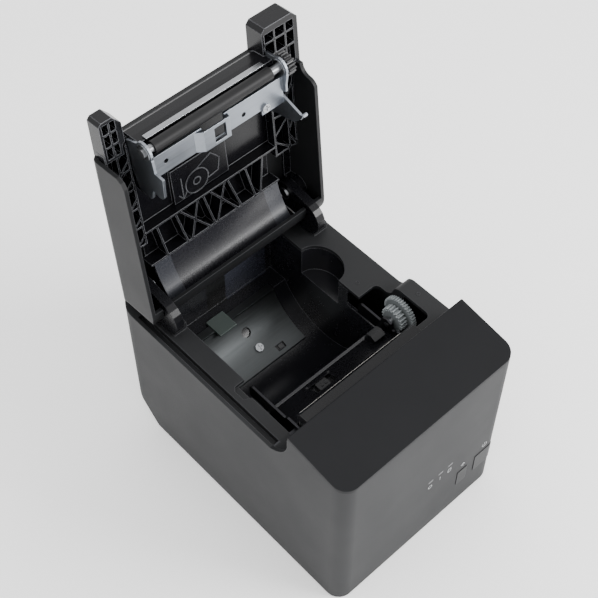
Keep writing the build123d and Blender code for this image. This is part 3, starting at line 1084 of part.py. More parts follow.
with BuildPart() as hinge_brackets:
    for x0 in (-TOWER_X[1], TOWER_X[0]):
        with BuildSketch(side(x0)):
            with Locations((HINGE_Y - TOWER_REACH, SHELF_Z + TOWER_NOSE_R)):
                RegularPolygon(TOWER_NOSE_R, ROUND)
            with Locations((HINGE_Y, HINGE_Z)):
                RegularPolygon(TOWER_BOSS_R, ROUND)
            with Locations((HINGE_Y - TOWER_THICK, SHELF_Z + TOWER_FOOT / 2)):
                Rectangle(TOWER_THICK, TOWER_FOOT)
            make_hull()
        extrude(amount=TOWER_X[1] - TOWER_X[0])
    block((LEFT_X, RIGHT_X), (0, REAR_Y), (DECK_UNDER - TOWER_NOSE_R, SHELF_Z), Mode.SUBTRACT)
    for pad_x, pad_y, pad_z in (PAD_LEFT, PAD_RIGHT):
        block(pad_x, pad_y, (SHELF_Z, pad_z), Mode.SUBTRACT)
    rod((LEFT_X, RIGHT_X), HINGE_Y, HINGE_Z, PIN_R + RUN_GAP, Mode.SUBTRACT)
finish(hinge_brackets.part, "hinge_brackets")

# Cover: an outer and an inner form, the second cut from the first

lid_forms = []
for inset in (0, LID_WALL):
    rear = REAR_Y - inset
    front = LID_FRONT_Y - INNER_RUN * inset
    tail_r = TAIL_R - inset
    tail_start = (HINGE_Y, HINGE_Z - tail_r)
    tail_end = under_circle(HINGE_Y, HINGE_Z, tail_r, rear)
    crown = crown_corner(LID_ROUND - inset)
    outline = [tail_end]
    outline += [(rear - into, lid_top(rear, inset) - down) for into, down in crown]
    outline += [(front, lid_top(front, inset)), (front, SKIRT_Z - inset)]
    if inset > 0:
        outline.append((HINGE_Y, SKIRT_Z - inset))
    outline.append(tail_start)
    with BuildPart() as lid_form:
        with BuildSketch(side(LEFT_X + inset, OPEN)):
            with BuildLine():
                Polyline(*outline)
                ThreePointArc(tail_start,
                              under_circle(HINGE_Y, HINGE_Z, tail_r, (HINGE_Y + rear) / 2),
                              tail_end)
            make_face()
        extrude(amount=CASE_WIDTH - 2 * inset)
        for x in (LEFT_X + inset, RIGHT_X - inset):
            corner = (OPEN * Location((x, rear, HINGE_Z))).position
            fillet(lid_form.edges().sort_by_distance(corner)[0], CASE_CORNER - inset)
        rim = [(LEFT_X + inset + into, -down) for into, down in crown]
        rim += [(RIGHT_X - inset - into, -down) for into, down in crown[::-1]]
        rim += [(RIGHT_X - inset, -CASE_WIDTH), (LEFT_X + inset, -CASE_WIDTH)]
        top_place = OPEN * Location((0, HINGE_Y, LID_TOP_Z - inset), (LID_FALL, 0, 0))
        wedge((-2 * CASE_DEPTH, CASE_DEPTH), rim, Mode.INTERSECT, top_place)
    lid_forms.append(lid_form.part)

with BuildPart() as lid_cover:
    add(lid_forms[0])
    add(lid_forms[1], mode=Mode.SUBTRACT)
    for x, front in (((2 * LEFT_X, MOUTH_LEFT), LEFT_SKIRT_Y),
                     ((BAR_RIGHT, 2 * RIGHT_X), SHOULDER_REAR_Y)):
        block(x, (LID_FRONT_Y - 1, front), (SKIRT_Z - 1, 2 * LID_TOP_Z), Mode.SUBTRACT, OPEN)
    for x in ((-SLOT_X[1], -SLOT_X[0]), SLOT_X):
        block(x, (HINGE_Y, 2 * REAR_Y), (SKIRT_Z - 1, SLOT_Z), Mode.SUBTRACT, OPEN)
    shoulder((RIGHT_X - LID_WALL - 1, 2 * RIGHT_X), 2 * CLEAR, Mode.SUBTRACT, OPEN)
    slab((LEFT_X, LEFT_X + LID_WALL),
         ((LEFT_SKIRT_Y, SKIRT_Z + SKIRT_ROUND), (LEFT_SKIRT_Y - 1, SKIRT_Z - 1),
          (LEFT_SKIRT_Y + SKIRT_ROUND, SKIRT_Z - 1), (LEFT_SKIRT_Y + SKIRT_ROUND, SKIRT_Z),
          (LEFT_SKIRT_Y + SKIRT_ROUND / 3, SKIRT_Z + SKIRT_ROUND / 3)), Mode.SUBTRACT, OPEN)
finish(lid_cover.part, "lid_cover")

# Frame of the cover: the black plate under it, with its ribs, ears and hinge bosses


def sloped(x, y, inset, thick, mode=Mode.ADD):
    """A slab of the cover that follows its top between two values each of x and y."""
    slab(x, ((y[0], lid_top(y[0], inset)), (y[1], lid_top(y[1], inset)),
             (y[1], lid_top(y[1], inset + thick)), (y[0], lid_top(y[0], inset + thick))),
         mode, OPEN)


with BuildPart() as lid_frame:
    for points, low in ((LEFT_EAR, LEFT_EAR_Z), (RIGHT_EAR, RIGHT_EAR_Z)):
        sheet(points, (low, LID_TOP_Z), place=OPEN)
    sloped((2 * LEFT_X, 2 * RIGHT_X), (2 * EAR_FRONT_Y, 0), -LID_TALL, LID_TALL, Mode.SUBTRACT)
    outer_rim = (OPEN * Location((RIGHT_X, PLATEN_Y, lid_top(PLATEN_Y)))).position
    fillet(lid_frame.edges().sort_by_distance(outer_rim)[0], LID_ROUND)
    for columns, rows in ((LEFT_CELLS, LEFT_ROWS), (RIGHT_CELLS, RIGHT_ROWS)):
        for x in columns:
            for y in rows:
                block(x, y, (RIGHT_EAR_Z - 1, EAR_CEILING_Z), Mode.SUBTRACT, OPEN)
    sloped((-RAIL_OUT, RAIL_OUT), (BAR_BACK_Y, PLATE_WIDE_Y), LID_WALL, FRAME_PLATE)
    sloped(GUIDE_X, (PLATE_WIDE_Y, GUIDE_START_Y), LID_WALL, FRAME_PLATE)
    for x in ((-RAIL_OUT, -RAIL_IN), (RAIL_IN, RAIL_OUT)):
        sloped(x, (PLATE_WIDE_Y, HINGE_Y + BOSS_R), LID_WALL, FRAME_PLATE)
        faceted_rod(x, HINGE_Y, HINGE_Z, BOSS_R, ROUND, place=OPEN)
        block(x, (HINGE_Y - BOSS_R + 1, HINGE_Y + BOSS_R - 1),
              (HINGE_Z, lid_top(HINGE_Y - BOSS_R, LID_WALL + 1)), place=OPEN)
    rod((2 * LEFT_X, 2 * RIGHT_X), HINGE_Y, HINGE_Z, PIN_R, Mode.SUBTRACT, OPEN)
    chord_z = (RIB_LOW_Z, lid_top(CHORD_Y, LID_WALL + 1))
    end_y = GUIDE_START_Y - RIB / 2
    for y in (CHORD_Y, end_y):
        rib((LEFT_WEB_X[2], y), (SIDE_X[0], y), chord_z, place=OPEN)
    for low, high in TRUSS:
        rib((PATH_X + low, CHORD_Y), (PATH_X + high, end_y), chord_z, place=OPEN)
    wall_z = (RIB_LOW_Z, lid_top(BAR_BACK_Y, LID_WALL + 1))
    for x in LEFT_WEB_X + SIDE_X:
        rib((x, BAR_BACK_Y), (x, PLATE_WIDE_Y), wall_z, place=OPEN)
    for back in LEFT_WEB:
        y = PLATEN_Y + back
        rib((LEFT_WEB_X[0], y), (LEFT_WEB_X[2], y), wall_z, place=OPEN)
        rib((LEFT_WEB_X[1], y), (LEFT_WEB_X[2], y - WEB_LEAN), wall_z, place=OPEN)
    rib((SIDE_X[0], y), (SIDE_X[2], y), wall_z, place=OPEN)
    for start, end in RIGHT_WEB:
        rib((start[0], PLATEN_Y + start[1]), (end[0], PLATEN_Y + end[1]), wall_z, place=OPEN)
    for x in (LEFT_ARM + SHEET + RIB / 2, RIGHT_ARM + SHEET + RIB / 2):
        rib((x, BAR_BACK_Y), (x, BAR_BACK_Y + ARM_RIB_LONG), (ARM_RIB_Z, wall_z[1]), place=OPEN)
    under_bar = lid_top(PLATEN_Y, LID_WALL)
    bar_form = ((FIXED_Y[1], FIXED_Z[0] + 1), (FIXED_Y[1], BLADE_Z + 4),
                (PLATEN_Y - BAR_SWELL, RIB_LOW_Z + 4), (PLATEN_Y, under_bar),
                (BAR_BACK_Y, lid_top(BAR_BACK_Y, LID_WALL)), (BAR_BACK_Y, FIXED_Z[1] - 1),
                (PLATEN_Y, FIXED_Z[0] + 1))
    slab((LEFT_ARM + SHEET, RIGHT_ARM), bar_form, place=OPEN)
    for x in ((MOUTH_LEFT, LEFT_ARM + SHEET), (RIGHT_ARM, RIGHT_ARM + SHEET)):
        block(x, (PLATEN_Y, BAR_BACK_Y + RIB), (RIB_LOW_Z + 2, under_bar), place=OPEN)
    screw_x, screw_y = BRACKET_SCREW
    post(screw_x, screw_y, (SOLE_Z + SHEET, wall_z[1]), SCREW_HEAD_R, place=OPEN)
    post(screw_x, screw_y, (SOLE_Z, SOLE_Z + SCREW_LONG), SCREW_R, mode=Mode.SUBTRACT, place=OPEN)
    peg_x, peg_y = BRACKET_PEG
    post(peg_x, peg_y, (SOLE_Z + SHEET, wall_z[1]), SCREW_HEAD_R, place=OPEN)
    block(PAD_PLATE_X, PAD_PLATE_Y, (chord_z[1] - 4, chord_z[1]), place=OPEN)
    add(lid_cover.part, mode=Mode.SUBTRACT)
finish(lid_frame.part, "lid_frame")

with BuildPart() as roll_guide:
    outer = GUIDE_R + GUIDE_THICK
    inner_points = [over_circle(GUIDE_Y, GUIDE_Z, GUIDE_R, y)
                    for y in (GUIDE_START_Y, (GUIDE_START_Y + CREASE_Y) / 2, CREASE_Y)]
    outer_points = [over_circle(GUIDE_Y, GUIDE_Z, outer, y)
                    for y in (GUIDE_START_Y, (GUIDE_START_Y + CREASE_Y) / 2, CREASE_Y + 1)]
    with BuildSketch(side(GUIDE_X[0], OPEN)):
        with BuildLine():
            ThreePointArc(*inner_points)
            Polyline(inner_points[2], *GUIDE_END, outer_points[2])
            ThreePointArc(*outer_points)
            Line(outer_points[0], inner_points[0])
        make_face()
    extrude(amount=GUIDE_X[1] - GUIDE_X[0])
finish(roll_guide.part, "roll_guide")

# Platen bracket in the cover, the fixed blade and the pieces on the bracket

with BuildPart() as platen_bracket:
    for x, form in ((LEFT_ARM, LEFT_FORM), (RIGHT_ARM, RIGHT_FORM)):
        points = [(PLATEN_Y + back, PLATEN_Z + up) for back, up in form]
        slab((x, x + SHEET), points, place=OPEN)
        faceted_rod((x, x + SHEET), PLATEN_Y, PLATEN_Z, ARM_END_R, ROUND, place=OPEN)
        faceted_rod((x, x + SHEET), PLATEN_Y, PLATEN_Z, BUSH_R, ROUND, Mode.SUBTRACT, OPEN)
    pin_y = PLATEN_Y + PIN_BACK
    faceted_rod((RIGHT_ARM + SHEET, RIGHT_ARM + 3 * SHEET), pin_y, PLATEN_Z - PIN_DROP, SCREW_R, place=OPEN)
    sole_x = (LEFT_ARM + SHEET, RIGHT_ARM)
    sole_z = (SOLE_Z, SOLE_Z + SHEET)
    block(sole_x, SOLE_Y, sole_z, place=OPEN)
    block((FLANGE_X[1], RIGHT_ARM), (SOLE_Y[1], SOLE_Y[1] + 4), sole_z, place=OPEN)
    slab(FLANGE_X, ((SOLE_Y[1], SOLE_Z), (SOLE_Y[1] + FLANGE_OUT, SOLE_Z + FLANGE_RISE),
                    (SOLE_Y[1] + FLANGE_OUT, SOLE_Z + FLANGE_RISE + SHEET),
                    (SOLE_Y[1], SOLE_Z + SHEET)), place=OPEN)
    hat = ((HAT_X[0] - HAT_LEAN, SOLE_Z), (HAT_X[0], SOLE_Z - HAT_TALL),
           (HAT_X[1], SOLE_Z - HAT_TALL), (HAT_X[1] + 1, SOLE_Z))
    wedge((HAT_Y[0], SOLE_Y[1]), hat, place=OPEN)
    block((HAT_X[0] + 1, HAT_X[1] - 1), (HAT_Y[0] - 1, SOLE_Y[1] + 1),
          (SOLE_Z - HAT_TALL + 1, SOLE_Z + SHEET), Mode.SUBTRACT, OPEN)
    block(*HAT_WINDOW, (SOLE_Z - HAT_TALL - 1, SOLE_Z), Mode.SUBTRACT, OPEN)
    for x, y in BRACKET_HOLES:
        post(x, y, sole_z, HOLE_R, mode=Mode.SUBTRACT, place=OPEN)
    post(screw_x, screw_y, sole_z, SCREW_R, mode=Mode.SUBTRACT, place=OPEN)
finish(platen_bracket.part, "platen_bracket")

with BuildPart() as bracket_screws:
    post(screw_x, screw_y, (SOLE_Z - SCREW_HEAD, SOLE_Z), SCREW_HEAD_R, place=OPEN)
    post(screw_x, screw_y, (SOLE_Z - SCREW_HEAD, SOLE_Z + SCREW_LONG - SHEET), SCREW_R, place=OPEN)
    cross_recess(OPEN * Location((screw_x, screw_y, SOLE_Z - SCREW_HEAD)))
finish(bracket_screws.part, "bracket_screws")

with BuildPart() as platen_bushes:
    for x in (LEFT_ARM, RIGHT_ARM):
        faceted_rod((x, x + SHEET), PLATEN_Y, PLATEN_Z, BUSH_R, ROUND, place=OPEN)
        faceted_rod((x - BUSH_COLLAR[0], x), PLATEN_Y, PLATEN_Z, BUSH_R + BUSH_COLLAR[1], ROUND,
                    place=OPEN)
    rod((2 * LEFT_X, 2 * RIGHT_X), PLATEN_Y, PLATEN_Z, SHAFT_R + RUN_GAP, Mode.SUBTRACT, OPEN)
finish(platen_bushes.part, "platen_bushes")

with BuildPart() as fixed_blade:
    block(BLADE_X, FIXED_Y, FIXED_Z, place=OPEN)
finish(fixed_blade.part, "fixed_blade")

with BuildPart() as hinge_pins:
    for x in ((-PIN_X[1], -PIN_X[0]), PIN_X):
        rod(x, HINGE_Y, HINGE_Z, PIN_R, place=OPEN)
finish(hinge_pins.part, "hinge_pins")

with BuildPart() as platen_shaft:
    rod((LEFT_ARM - SHEET, GEAR_X[1]), PLATEN_Y, PLATEN_Z, SHAFT_R, place=OPEN)
finish(platen_shaft.part, "platen_shaft")

with BuildPart() as platen_rubber:
    rod((PATH_X - RUBBER_LONG / 2, PATH_X + RUBBER_LONG / 2), PLATEN_Y, PLATEN_Z, RUBBER_R,
        place=OPEN)
    rod((2 * LEFT_X, 2 * RIGHT_X), PLATEN_Y, PLATEN_Z, SHAFT_R, Mode.SUBTRACT, OPEN)
finish(platen_rubber.part, "platen_rubber")

with BuildPart() as platen_gear:
    gear(GEAR_X, platen_centre, PLATEN_TEETH, PLATEN_MODULE, 0, 3, OPEN)
    rod(GEAR_X, PLATEN_Y, PLATEN_Z, SHAFT_R, Mode.SUBTRACT, OPEN)
finish(platen_gear.part, "platen_gear")
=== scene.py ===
import math

import bmesh
import bpy
import numpy as np
from mathutils import Matrix, Vector


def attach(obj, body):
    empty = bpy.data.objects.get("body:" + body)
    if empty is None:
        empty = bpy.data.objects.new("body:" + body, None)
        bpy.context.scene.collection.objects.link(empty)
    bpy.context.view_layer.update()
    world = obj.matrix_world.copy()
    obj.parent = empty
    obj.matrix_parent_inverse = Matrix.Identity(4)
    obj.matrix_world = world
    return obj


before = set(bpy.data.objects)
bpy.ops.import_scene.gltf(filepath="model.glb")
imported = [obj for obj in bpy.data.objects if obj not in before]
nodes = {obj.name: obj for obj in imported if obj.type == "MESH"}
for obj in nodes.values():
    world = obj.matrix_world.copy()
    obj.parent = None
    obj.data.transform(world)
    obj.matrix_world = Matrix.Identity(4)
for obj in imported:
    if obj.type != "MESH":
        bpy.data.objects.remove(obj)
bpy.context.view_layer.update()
MM = 0.001

# The cover's hinge, in millimetres, and how far the cover stands open at rest, in degrees
HINGE_Y = 84.0
HINGE_Z = 136.0
OPEN_ANGLE = 95.0

# Edge mask for the painted edge highlights: samples of the rounded normal, and the share of turn
# where the painted highlight starts and is full
BEVEL_SAMPLES = 4
HIGHLIGHT_START = 0.02
HIGHLIGHT_FULL = 0.2

# Plastic: size of the clouds, shares of cloud and grain in the colour, the painted edge highlight
# and roughness
CLOUD_SCALE = 28.0
CLOUD_SHARE = 0.6
GRAIN_SHARE = 0.4
MIX_LOW = 0.3
MIX_HIGH = 0.7
HIGHLIGHT_GAIN = 2.4
HIGHLIGHT_LIFT = 0.012
RIM_GROW = 1.6
RIM_CLOUD = 0.7
RIM_BASE = 0.5
ROUGH_CLOUD = 0.14
ROUGH_GRAIN = 0.1
ROUGH_DROP = 0.12
GRAIN_STRENGTH = 0.6

# Metal: scale of the drawn lines across and along, and their shares
LINES_ACROSS = 900.0
LINES_ALONG = 18.0
METAL_CLOUD = 60.0
METAL_DARK = 0.82
METAL_LIGHT = 1.1
# The next two set the painted highlight on metal edges: its brightness and its share.
METAL_HIGHLIGHT = 1.5
METAL_RIM = 0.7
LINE_ROUGH = 0.22
METAL_CLOUD_ROUGH = 0.12
METAL_DROP = 0.15
LINE_DEPTH = 0.00001
LINE_STRENGTH = 0.4

# Places of the tints, in metres
BAY_WALL_Y = 0.0848
SLOT_LEFT_X = -0.013
SLOT_RIGHT_X = 0.003
RAISED_RIGHT_X = 0.038
RAISED_COLOUR = (0.024, 0.026, 0.036)
SLOT_SHADE = (0.003, 0.003, 0.003)
GUIDE_SHIFT = 0.001
GUIDE_HALF = 0.0375
GUIDE_END_SHARE = 0.85
GUIDE_END_COLOUR = (0.034, 0.036, 0.043)


class Num:
    """A number that varies over a surface: operators add Math nodes behind a shader socket."""

    def __init__(self, finish, socket):
        self.finish = finish
        self.socket = socket

    def math(self, operation, *others):
        """The result of one Math node on this number and the others."""
        values = [self] + list(others)
        made = self.finish.node("ShaderNodeMath", {"operation": operation}, values)
        return Num(self.finish, made.outputs[0])

    def __add__(self, other):
        return self.math("ADD", other)

    def __mul__(self, other):
        return self.math("MULTIPLY", other)

    def __sub__(self, other):
        return self.math("SUBTRACT", other)

    def __rsub__(self, other):
        return (self * -1.0) + other

    def __gt__(self, other):
        return self.math("GREATER_THAN", other)

    def __lt__(self, other):
        return self.math("LESS_THAN", other)

    def __abs__(self):
        return self.math("ABSOLUTE")

    def clamp(self):
        """Held between 0 and 1."""
        return self.math("MAXIMUM", 0.0).math("MINIMUM", 1.0)

    def ramp(self, low, high):
        """0 at low, 1 at high, straight between."""
        return ((self - low) * (1.0 / (high - low))).clamp()


class Finish:
    """A material and the nodes that make it."""

    def __init__(self, name, colour, roughness=0.5, **constants):
        self.material = bpy.data.materials.new(name)
        self.material.use_nodes = True
        self.tree = self.material.node_tree
        self.shader = next(n for n in self.tree.nodes if n.type == "BSDF_PRINCIPLED")
        self.shader.inputs["Base Color"].default_value = (*colour, 1.0)
        self.shader.inputs["Roughness"].default_value = roughness
        for socket, value in constants.items():
            self.shader.inputs[socket.replace("_", " ")].default_value = value
        self.material.diffuse_color = (*colour, 1.0)
        self.place = self.node("ShaderNodeTexCoord").outputs["Object"]

    def node(self, kind, settings=None, values=None):
        """Adds a node, sets its settings and then the values or links of its sockets."""
        made = self.tree.nodes.new(kind)
        for key, value in (settings or {}).items():
            setattr(made, key, value)
        pairs = values.items() if isinstance(values, dict) else enumerate(values or [])
        for key, value in pairs:
            if isinstance(value, Num):
                value = value.socket
            if isinstance(value, bpy.types.NodeSocket):
                self.tree.links.new(value, made.inputs[key])
            else:
                made.inputs[key].default_value = value
        return made

    def link(self, value, socket):
        """Joins a number or a colour to a socket of the shader."""
        source = value.socket if isinstance(value, Num) else value
        self.tree.links.new(source, self.shader.inputs[socket])

    def axis(self, letter):
        """Object coordinate along X, Y or Z, in metres."""
        split = self.node("ShaderNodeSeparateXYZ", None, [self.place])
        return Num(self, split.outputs[letter])

    def stretched(self, scale):
        """Object coordinates scaled along each axis."""
        made = self.node("ShaderNodeVectorMath", {"operation": "MULTIPLY"}, [self.place, scale])
        return made.outputs[0]

    def noise(self, scale, detail=3.0, roughness=0.55, place=None):
        """Noise over the Object coordinates, or over another place."""
        made = self.node("ShaderNodeTexNoise", None,
                         {"Vector": place or self.place, "Scale": scale, "Detail": detail,
                          "Roughness": roughness})
        return Num(self, made.outputs["Fac"])

    def mix(self, factor, first, second):
        """Colour mixed from two, each a colour triple or a socket."""
        made = self.node("ShaderNodeMix", {"data_type": "RGBA"})
        for key, value in ((0, factor), (6, first), (7, second)):
            if isinstance(value, Num):
                value = value.socket
            if isinstance(value, bpy.types.NodeSocket):
                self.tree.links.new(value, made.inputs[key])
            elif key == 0:
                made.inputs[0].default_value = value
            else:
                made.inputs[key].default_value = (*value, 1.0)
        return made.outputs[2]

    def edges(self, radius):
        """1 at the solid's edges and 0 on its faces: how far a rounded normal leaves the true."""
        soft = self.node("ShaderNodeBevel", {"samples": BEVEL_SAMPLES}, {"Radius": radius})
        true = self.node("ShaderNodeNewGeometry")
        made = self.node("ShaderNodeVectorMath", {"operation": "DOT_PRODUCT"},
                         [soft.outputs[0], true.outputs["True Normal"]])
        return (1 - Num(self, made.outputs["Value"])).ramp(HIGHLIGHT_START, HIGHLIGHT_FULL)

    def bump(self, height, distance, strength=1.0, rounded=0.0):
        """Relief from a height; rounded softens the edges of the solid by that radius."""
        values = {"Strength": strength, "Distance": distance, "Height": height}
        if rounded:
            soft = self.node("ShaderNodeBevel", {"samples": BEVEL_SAMPLES}, {"Radius": rounded})
            values["Normal"] = soft.outputs[0]
        made = self.node("ShaderNodeBump", None, values)
        self.tree.links.new(made.outputs[0], self.shader.inputs["Normal"])


def moulded(name, colour, roughness, grain=0.00045, depth=0.00004, mottle=0.12, edge=0.0005,
            edge_highlight=None, tint=None, **constants):
    """Moulded plastic: a fine spark-eroded grain, faint cloudiness and softened edges, made paler
    as a painted highlight.
    """
    finish = Finish(name, colour, roughness, **constants)
    fine = finish.noise(1.0 / grain, 2.0)
    coarse = finish.noise(CLOUD_SCALE, 3.0)
    lighter = tuple(min(1.0, c * (1.0 + mottle)) for c in colour)
    darker = tuple(c * (1.0 - mottle) for c in colour)
    cloud = (coarse * CLOUD_SHARE + fine * GRAIN_SHARE).ramp(MIX_LOW, MIX_HIGH)
    skin = finish.mix(cloud, darker, lighter)
    if tint:
        skin = tint(finish, skin)
    # The edges are mixed toward a paler colour: a painted highlight along every edge.
    highlight_colour = edge_highlight or tuple(min(1.0, c * HIGHLIGHT_GAIN + HIGHLIGHT_LIFT) for c in colour)
    rim = finish.edges(edge * RIM_GROW) * (coarse * RIM_CLOUD + RIM_BASE).clamp()
    finish.link(finish.mix(rim, skin, highlight_colour), "Base Color")
    finish.link(coarse * ROUGH_CLOUD + fine * ROUGH_GRAIN + (roughness - ROUGH_DROP), "Roughness")
    finish.bump(fine, depth, GRAIN_STRENGTH, edge)
    return finish.material


def brushed(name, colour, roughness, along, edge=0.0003):
    """Metal with fine drawn lines along one axis, and edges made bright as a painted highlight."""
    finish = Finish(name, colour, roughness, Metallic=1.0)
    scale = [LINES_ALONG if letter == along else LINES_ACROSS for letter in "XYZ"]
    lines = finish.noise(1.0, 3.0, 0.6, finish.stretched(scale))
    cloud = finish.noise(METAL_CLOUD, 2.0)
    darker = tuple(c * METAL_DARK for c in colour)
    lighter = tuple(min(1, c * METAL_LIGHT) for c in colour)
    highlight_colour = tuple(min(1, c * METAL_HIGHLIGHT) for c in colour)
    skin = finish.mix((lines * 0.5 + cloud * 0.5).ramp(MIX_LOW, MIX_HIGH), darker, lighter)
    # The edges are mixed toward a brighter colour: a painted highlight.
    finish.link(finish.mix(finish.edges(edge) * METAL_RIM, skin, highlight_colour), "Base Color")
    finish.link(lines * LINE_ROUGH + cloud * METAL_CLOUD_ROUGH + (roughness - METAL_DROP),
                "Roughness")
    finish.bump(lines, LINE_DEPTH, LINE_STRENGTH, edge)
    return finish.material


def bay_tint(finish, skin):
    """The bay's rear wall: a slot painted near-black as painted shade, and a raised blue-black
    part to its right.
    """
    x = finish.axis("X")
    wall = finish.axis("Y") > BAY_WALL_Y
    raised = (x > SLOT_RIGHT_X) * (x < RAISED_RIGHT_X) * wall
    slot = (x > SLOT_LEFT_X) * (x < SLOT_RIGHT_X) * wall
    skin = finish.mix(raised, skin, RAISED_COLOUR)
    # The slot's inside is painted darker: painted shade in a recess that is not modelled.
    return finish.mix(slot, skin, SLOT_SHADE)


def guide_tint(finish, skin):
    """Paler parts at the two ends of the curved guide."""
    ends = (abs(finish.axis("X") + GUIDE_SHIFT) > GUIDE_HALF) * GUIDE_END_SHARE
    return finish.mix(ends, skin, GUIDE_END_COLOUR)


def dress(material, *names):
    """Gives a finish to CAD nodes, by name."""
    for name in names:
        materials = nodes[name].data.materials
        materials.clear()
        materials.append(material)


# The edge colours given below are painted highlights along the edges.
case_skin = moulded("case_skin", (0.0112, 0.0116, 0.0126), 0.55,
                   edge_highlight=(0.06, 0.061, 0.066), Specular_IOR_Level=0.24)
# panel_skin is darker than case_skin partly as the panel's own darker plastic and partly as
# painted shade on the top, which faces away from the light.
panel_skin = moulded("panel_skin", (0.0062, 0.0064, 0.0074), 0.5, 0.0005, 0.00005,
                    Specular_IOR_Level=0.14)
dark_case = moulded("base_skin", (0.012, 0.012, 0.012), 0.7)
inner_black = moulded("inner_black", (0.004, 0.004, 0.005), 0.28, 0.0012, 0.00001, 0.2,
                      Specular_IOR_Level=0.25)
bay_skin = moulded("bay_skin", (0.007, 0.007, 0.009), 0.26, 0.0012, 0.00001, 0.2,
                   edge_highlight=(0.09, 0.092, 0.10), tint=bay_tint)
cover_skin = moulded("cover_skin", (0.0085, 0.0088, 0.0095), 0.5, edge_highlight=(0.045, 0.046, 0.05),
                     Specular_IOR_Level=0.2)
lid_black = moulded("lid_black", (0.0035, 0.0035, 0.0045), 0.25, 0.0015, 0.00001, 0.2,
                    edge_highlight=(0.2, 0.205, 0.22), Specular_IOR_Level=0.25)
guide_skin = moulded("guide_skin", (0.013, 0.013, 0.016), 0.28, 0.0015, 0.00001, 0.2,
                     edge_highlight=(0.10, 0.10, 0.11), tint=guide_tint)
key_skin = moulded("key_skin", (0.0085, 0.0088, 0.0096), 0.45, Specular_IOR_Level=0.2)
foot_rubber = moulded("foot_rubber", (0.008, 0.008, 0.008), 0.85)
roller_rubber = moulded("roller_rubber", (0.0055, 0.0055, 0.006), 0.5, 0.0008, 0.00003,
                        Specular_IOR_Level=0.25)
nylon = moulded("nylon", (0.16, 0.175, 0.18), 0.42, 0.0006, 0.00002, 0.05)
dark_nylon = moulded("dark_nylon", (0.008, 0.008, 0.009), 0.38, 0.0006, 0.00002)
pale_stop = moulded("pale_stop", (0.06, 0.075, 0.07), 0.35, 0.0008, 0.00002)
ceramic = moulded("ceramic", (0.35, 0.34, 0.32), 0.2, 0.0004, 0.00001, 0.05)
board_green = moulded("board_green", (0.01, 0.07, 0.03), 0.4, 0.001, 0.00002)
light_guide = moulded("light_guide", (0.03, 0.032, 0.034), 0.25, 0.001, 0.00001)
mark_paint = moulded("mark_paint", (0.42, 0.43, 0.44), 0.5, 0.0006, 0.00001, 0.06)
zinc = brushed("zinc", (0.27, 0.29, 0.32), 0.36, "X")
steel = brushed("steel", (0.24, 0.245, 0.255), 0.34, "X")
bright_steel = brushed("bright_steel", (0.36, 0.37, 0.385), 0.27, "X")
gunmetal = brushed("gunmetal", (0.075, 0.08, 0.082), 0.40, "X")
dull_steel = brushed("dull_steel", (0.09, 0.09, 0.095), 0.42, "X")
dark_steel = brushed("dark_steel", (0.03, 0.03, 0.033), 0.38, "X")

dress(case_skin, "main_case")
dress(cover_skin, "lid_cover")
dress(panel_skin, "front_panel")
dress(dark_case, "base_cover", "power_supply", "power_inlet", "drawer_port")
dress(inner_black, "paper_guide", "hinge_brackets", "paper_sensor", "cutter_frame")
dress(bay_skin, "roll_bay")
dress(lid_black, "lid_frame")
dress(guide_skin, "roll_guide")
dress(key_skin, "feed_button", "power_button")
dress(foot_rubber, "rubber_feet")
dress(roller_rubber, "platen_rubber")
dress(nylon, "compound_gear", "reduction_gear")
dress(dark_nylon, "platen_gear", "motor_pinion")
dress(pale_stop, "roll_stop")
dress(ceramic, "thermal_head")
dress(board_green, "main_board", "panel_board")
dress(light_guide, "light_pipes")
dress(zinc, "platen_bracket")
dress(dark_steel, "mechanism_frame")
dress(steel, "platen_shaft", "head_heatsink", "usb_port", "network_port")
dress(bright_steel, "platen_bushes", "hinge_pins", "holder_screw", "bracket_screws", "base_screws",
      "gear_pins", "cutter_blade", "fixed_blade")
dress(gunmetal, "roll_holder")
dress(dull_steel, "feed_motor")

# Small pieces of the scene's own. Places are in millimetres; those on the cover are given with
# it closed and turned open about the hinge.
LEAN = np.array([1.0, 0.13, 0.07])
TINY = 1e-9


def turned_open(points):
    """Places of the closed cover carried to the open one, about the hinge's axis."""
    turn = math.radians(-OPEN_ANGLE)
    back = points[..., 1] - HINGE_Y
    up = points[..., 2] - HINGE_Z
    return np.stack([points[..., 0], HINGE_Y + back * math.cos(turn) - up * math.sin(turn),
                     HINGE_Z + back * math.sin(turn) + up * math.cos(turn)], axis=-1)


def skin_mesh(name, grid, finish, body, opened=False):
    """Closes a grid of rings, each joined round to itself, with a cap at either end."""
    if opened:
        grid = turned_open(grid)
    along, around = grid.shape[:2]
    ring = np.arange(around)
    step = np.arange(along - 1)[:, None] * around
    after = (ring + 1) % around
    quads = np.stack([step + ring, step + after, step + around + after, step + around + ring],
                     axis=-1).reshape(-1, 4)
    faces = quads.tolist()
    faces.append(ring[::-1].tolist())
    faces.append((ring + (along - 1) * around).tolist())
    mesh = bpy.data.meshes.new(name)
    mesh.from_pydata((grid.reshape(-1, 3) * MM).tolist(), [], faces)
    mesh.validate()
    shape = bmesh.new()
    shape.from_mesh(mesh)
    bmesh.ops.recalc_face_normals(shape, faces=shape.faces)
    shape.to_mesh(mesh)
    shape.free()
    mesh.materials.append(finish)
    piece = bpy.data.objects.new(name, mesh)
    bpy.context.scene.collection.objects.link(piece)
    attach(piece, body)


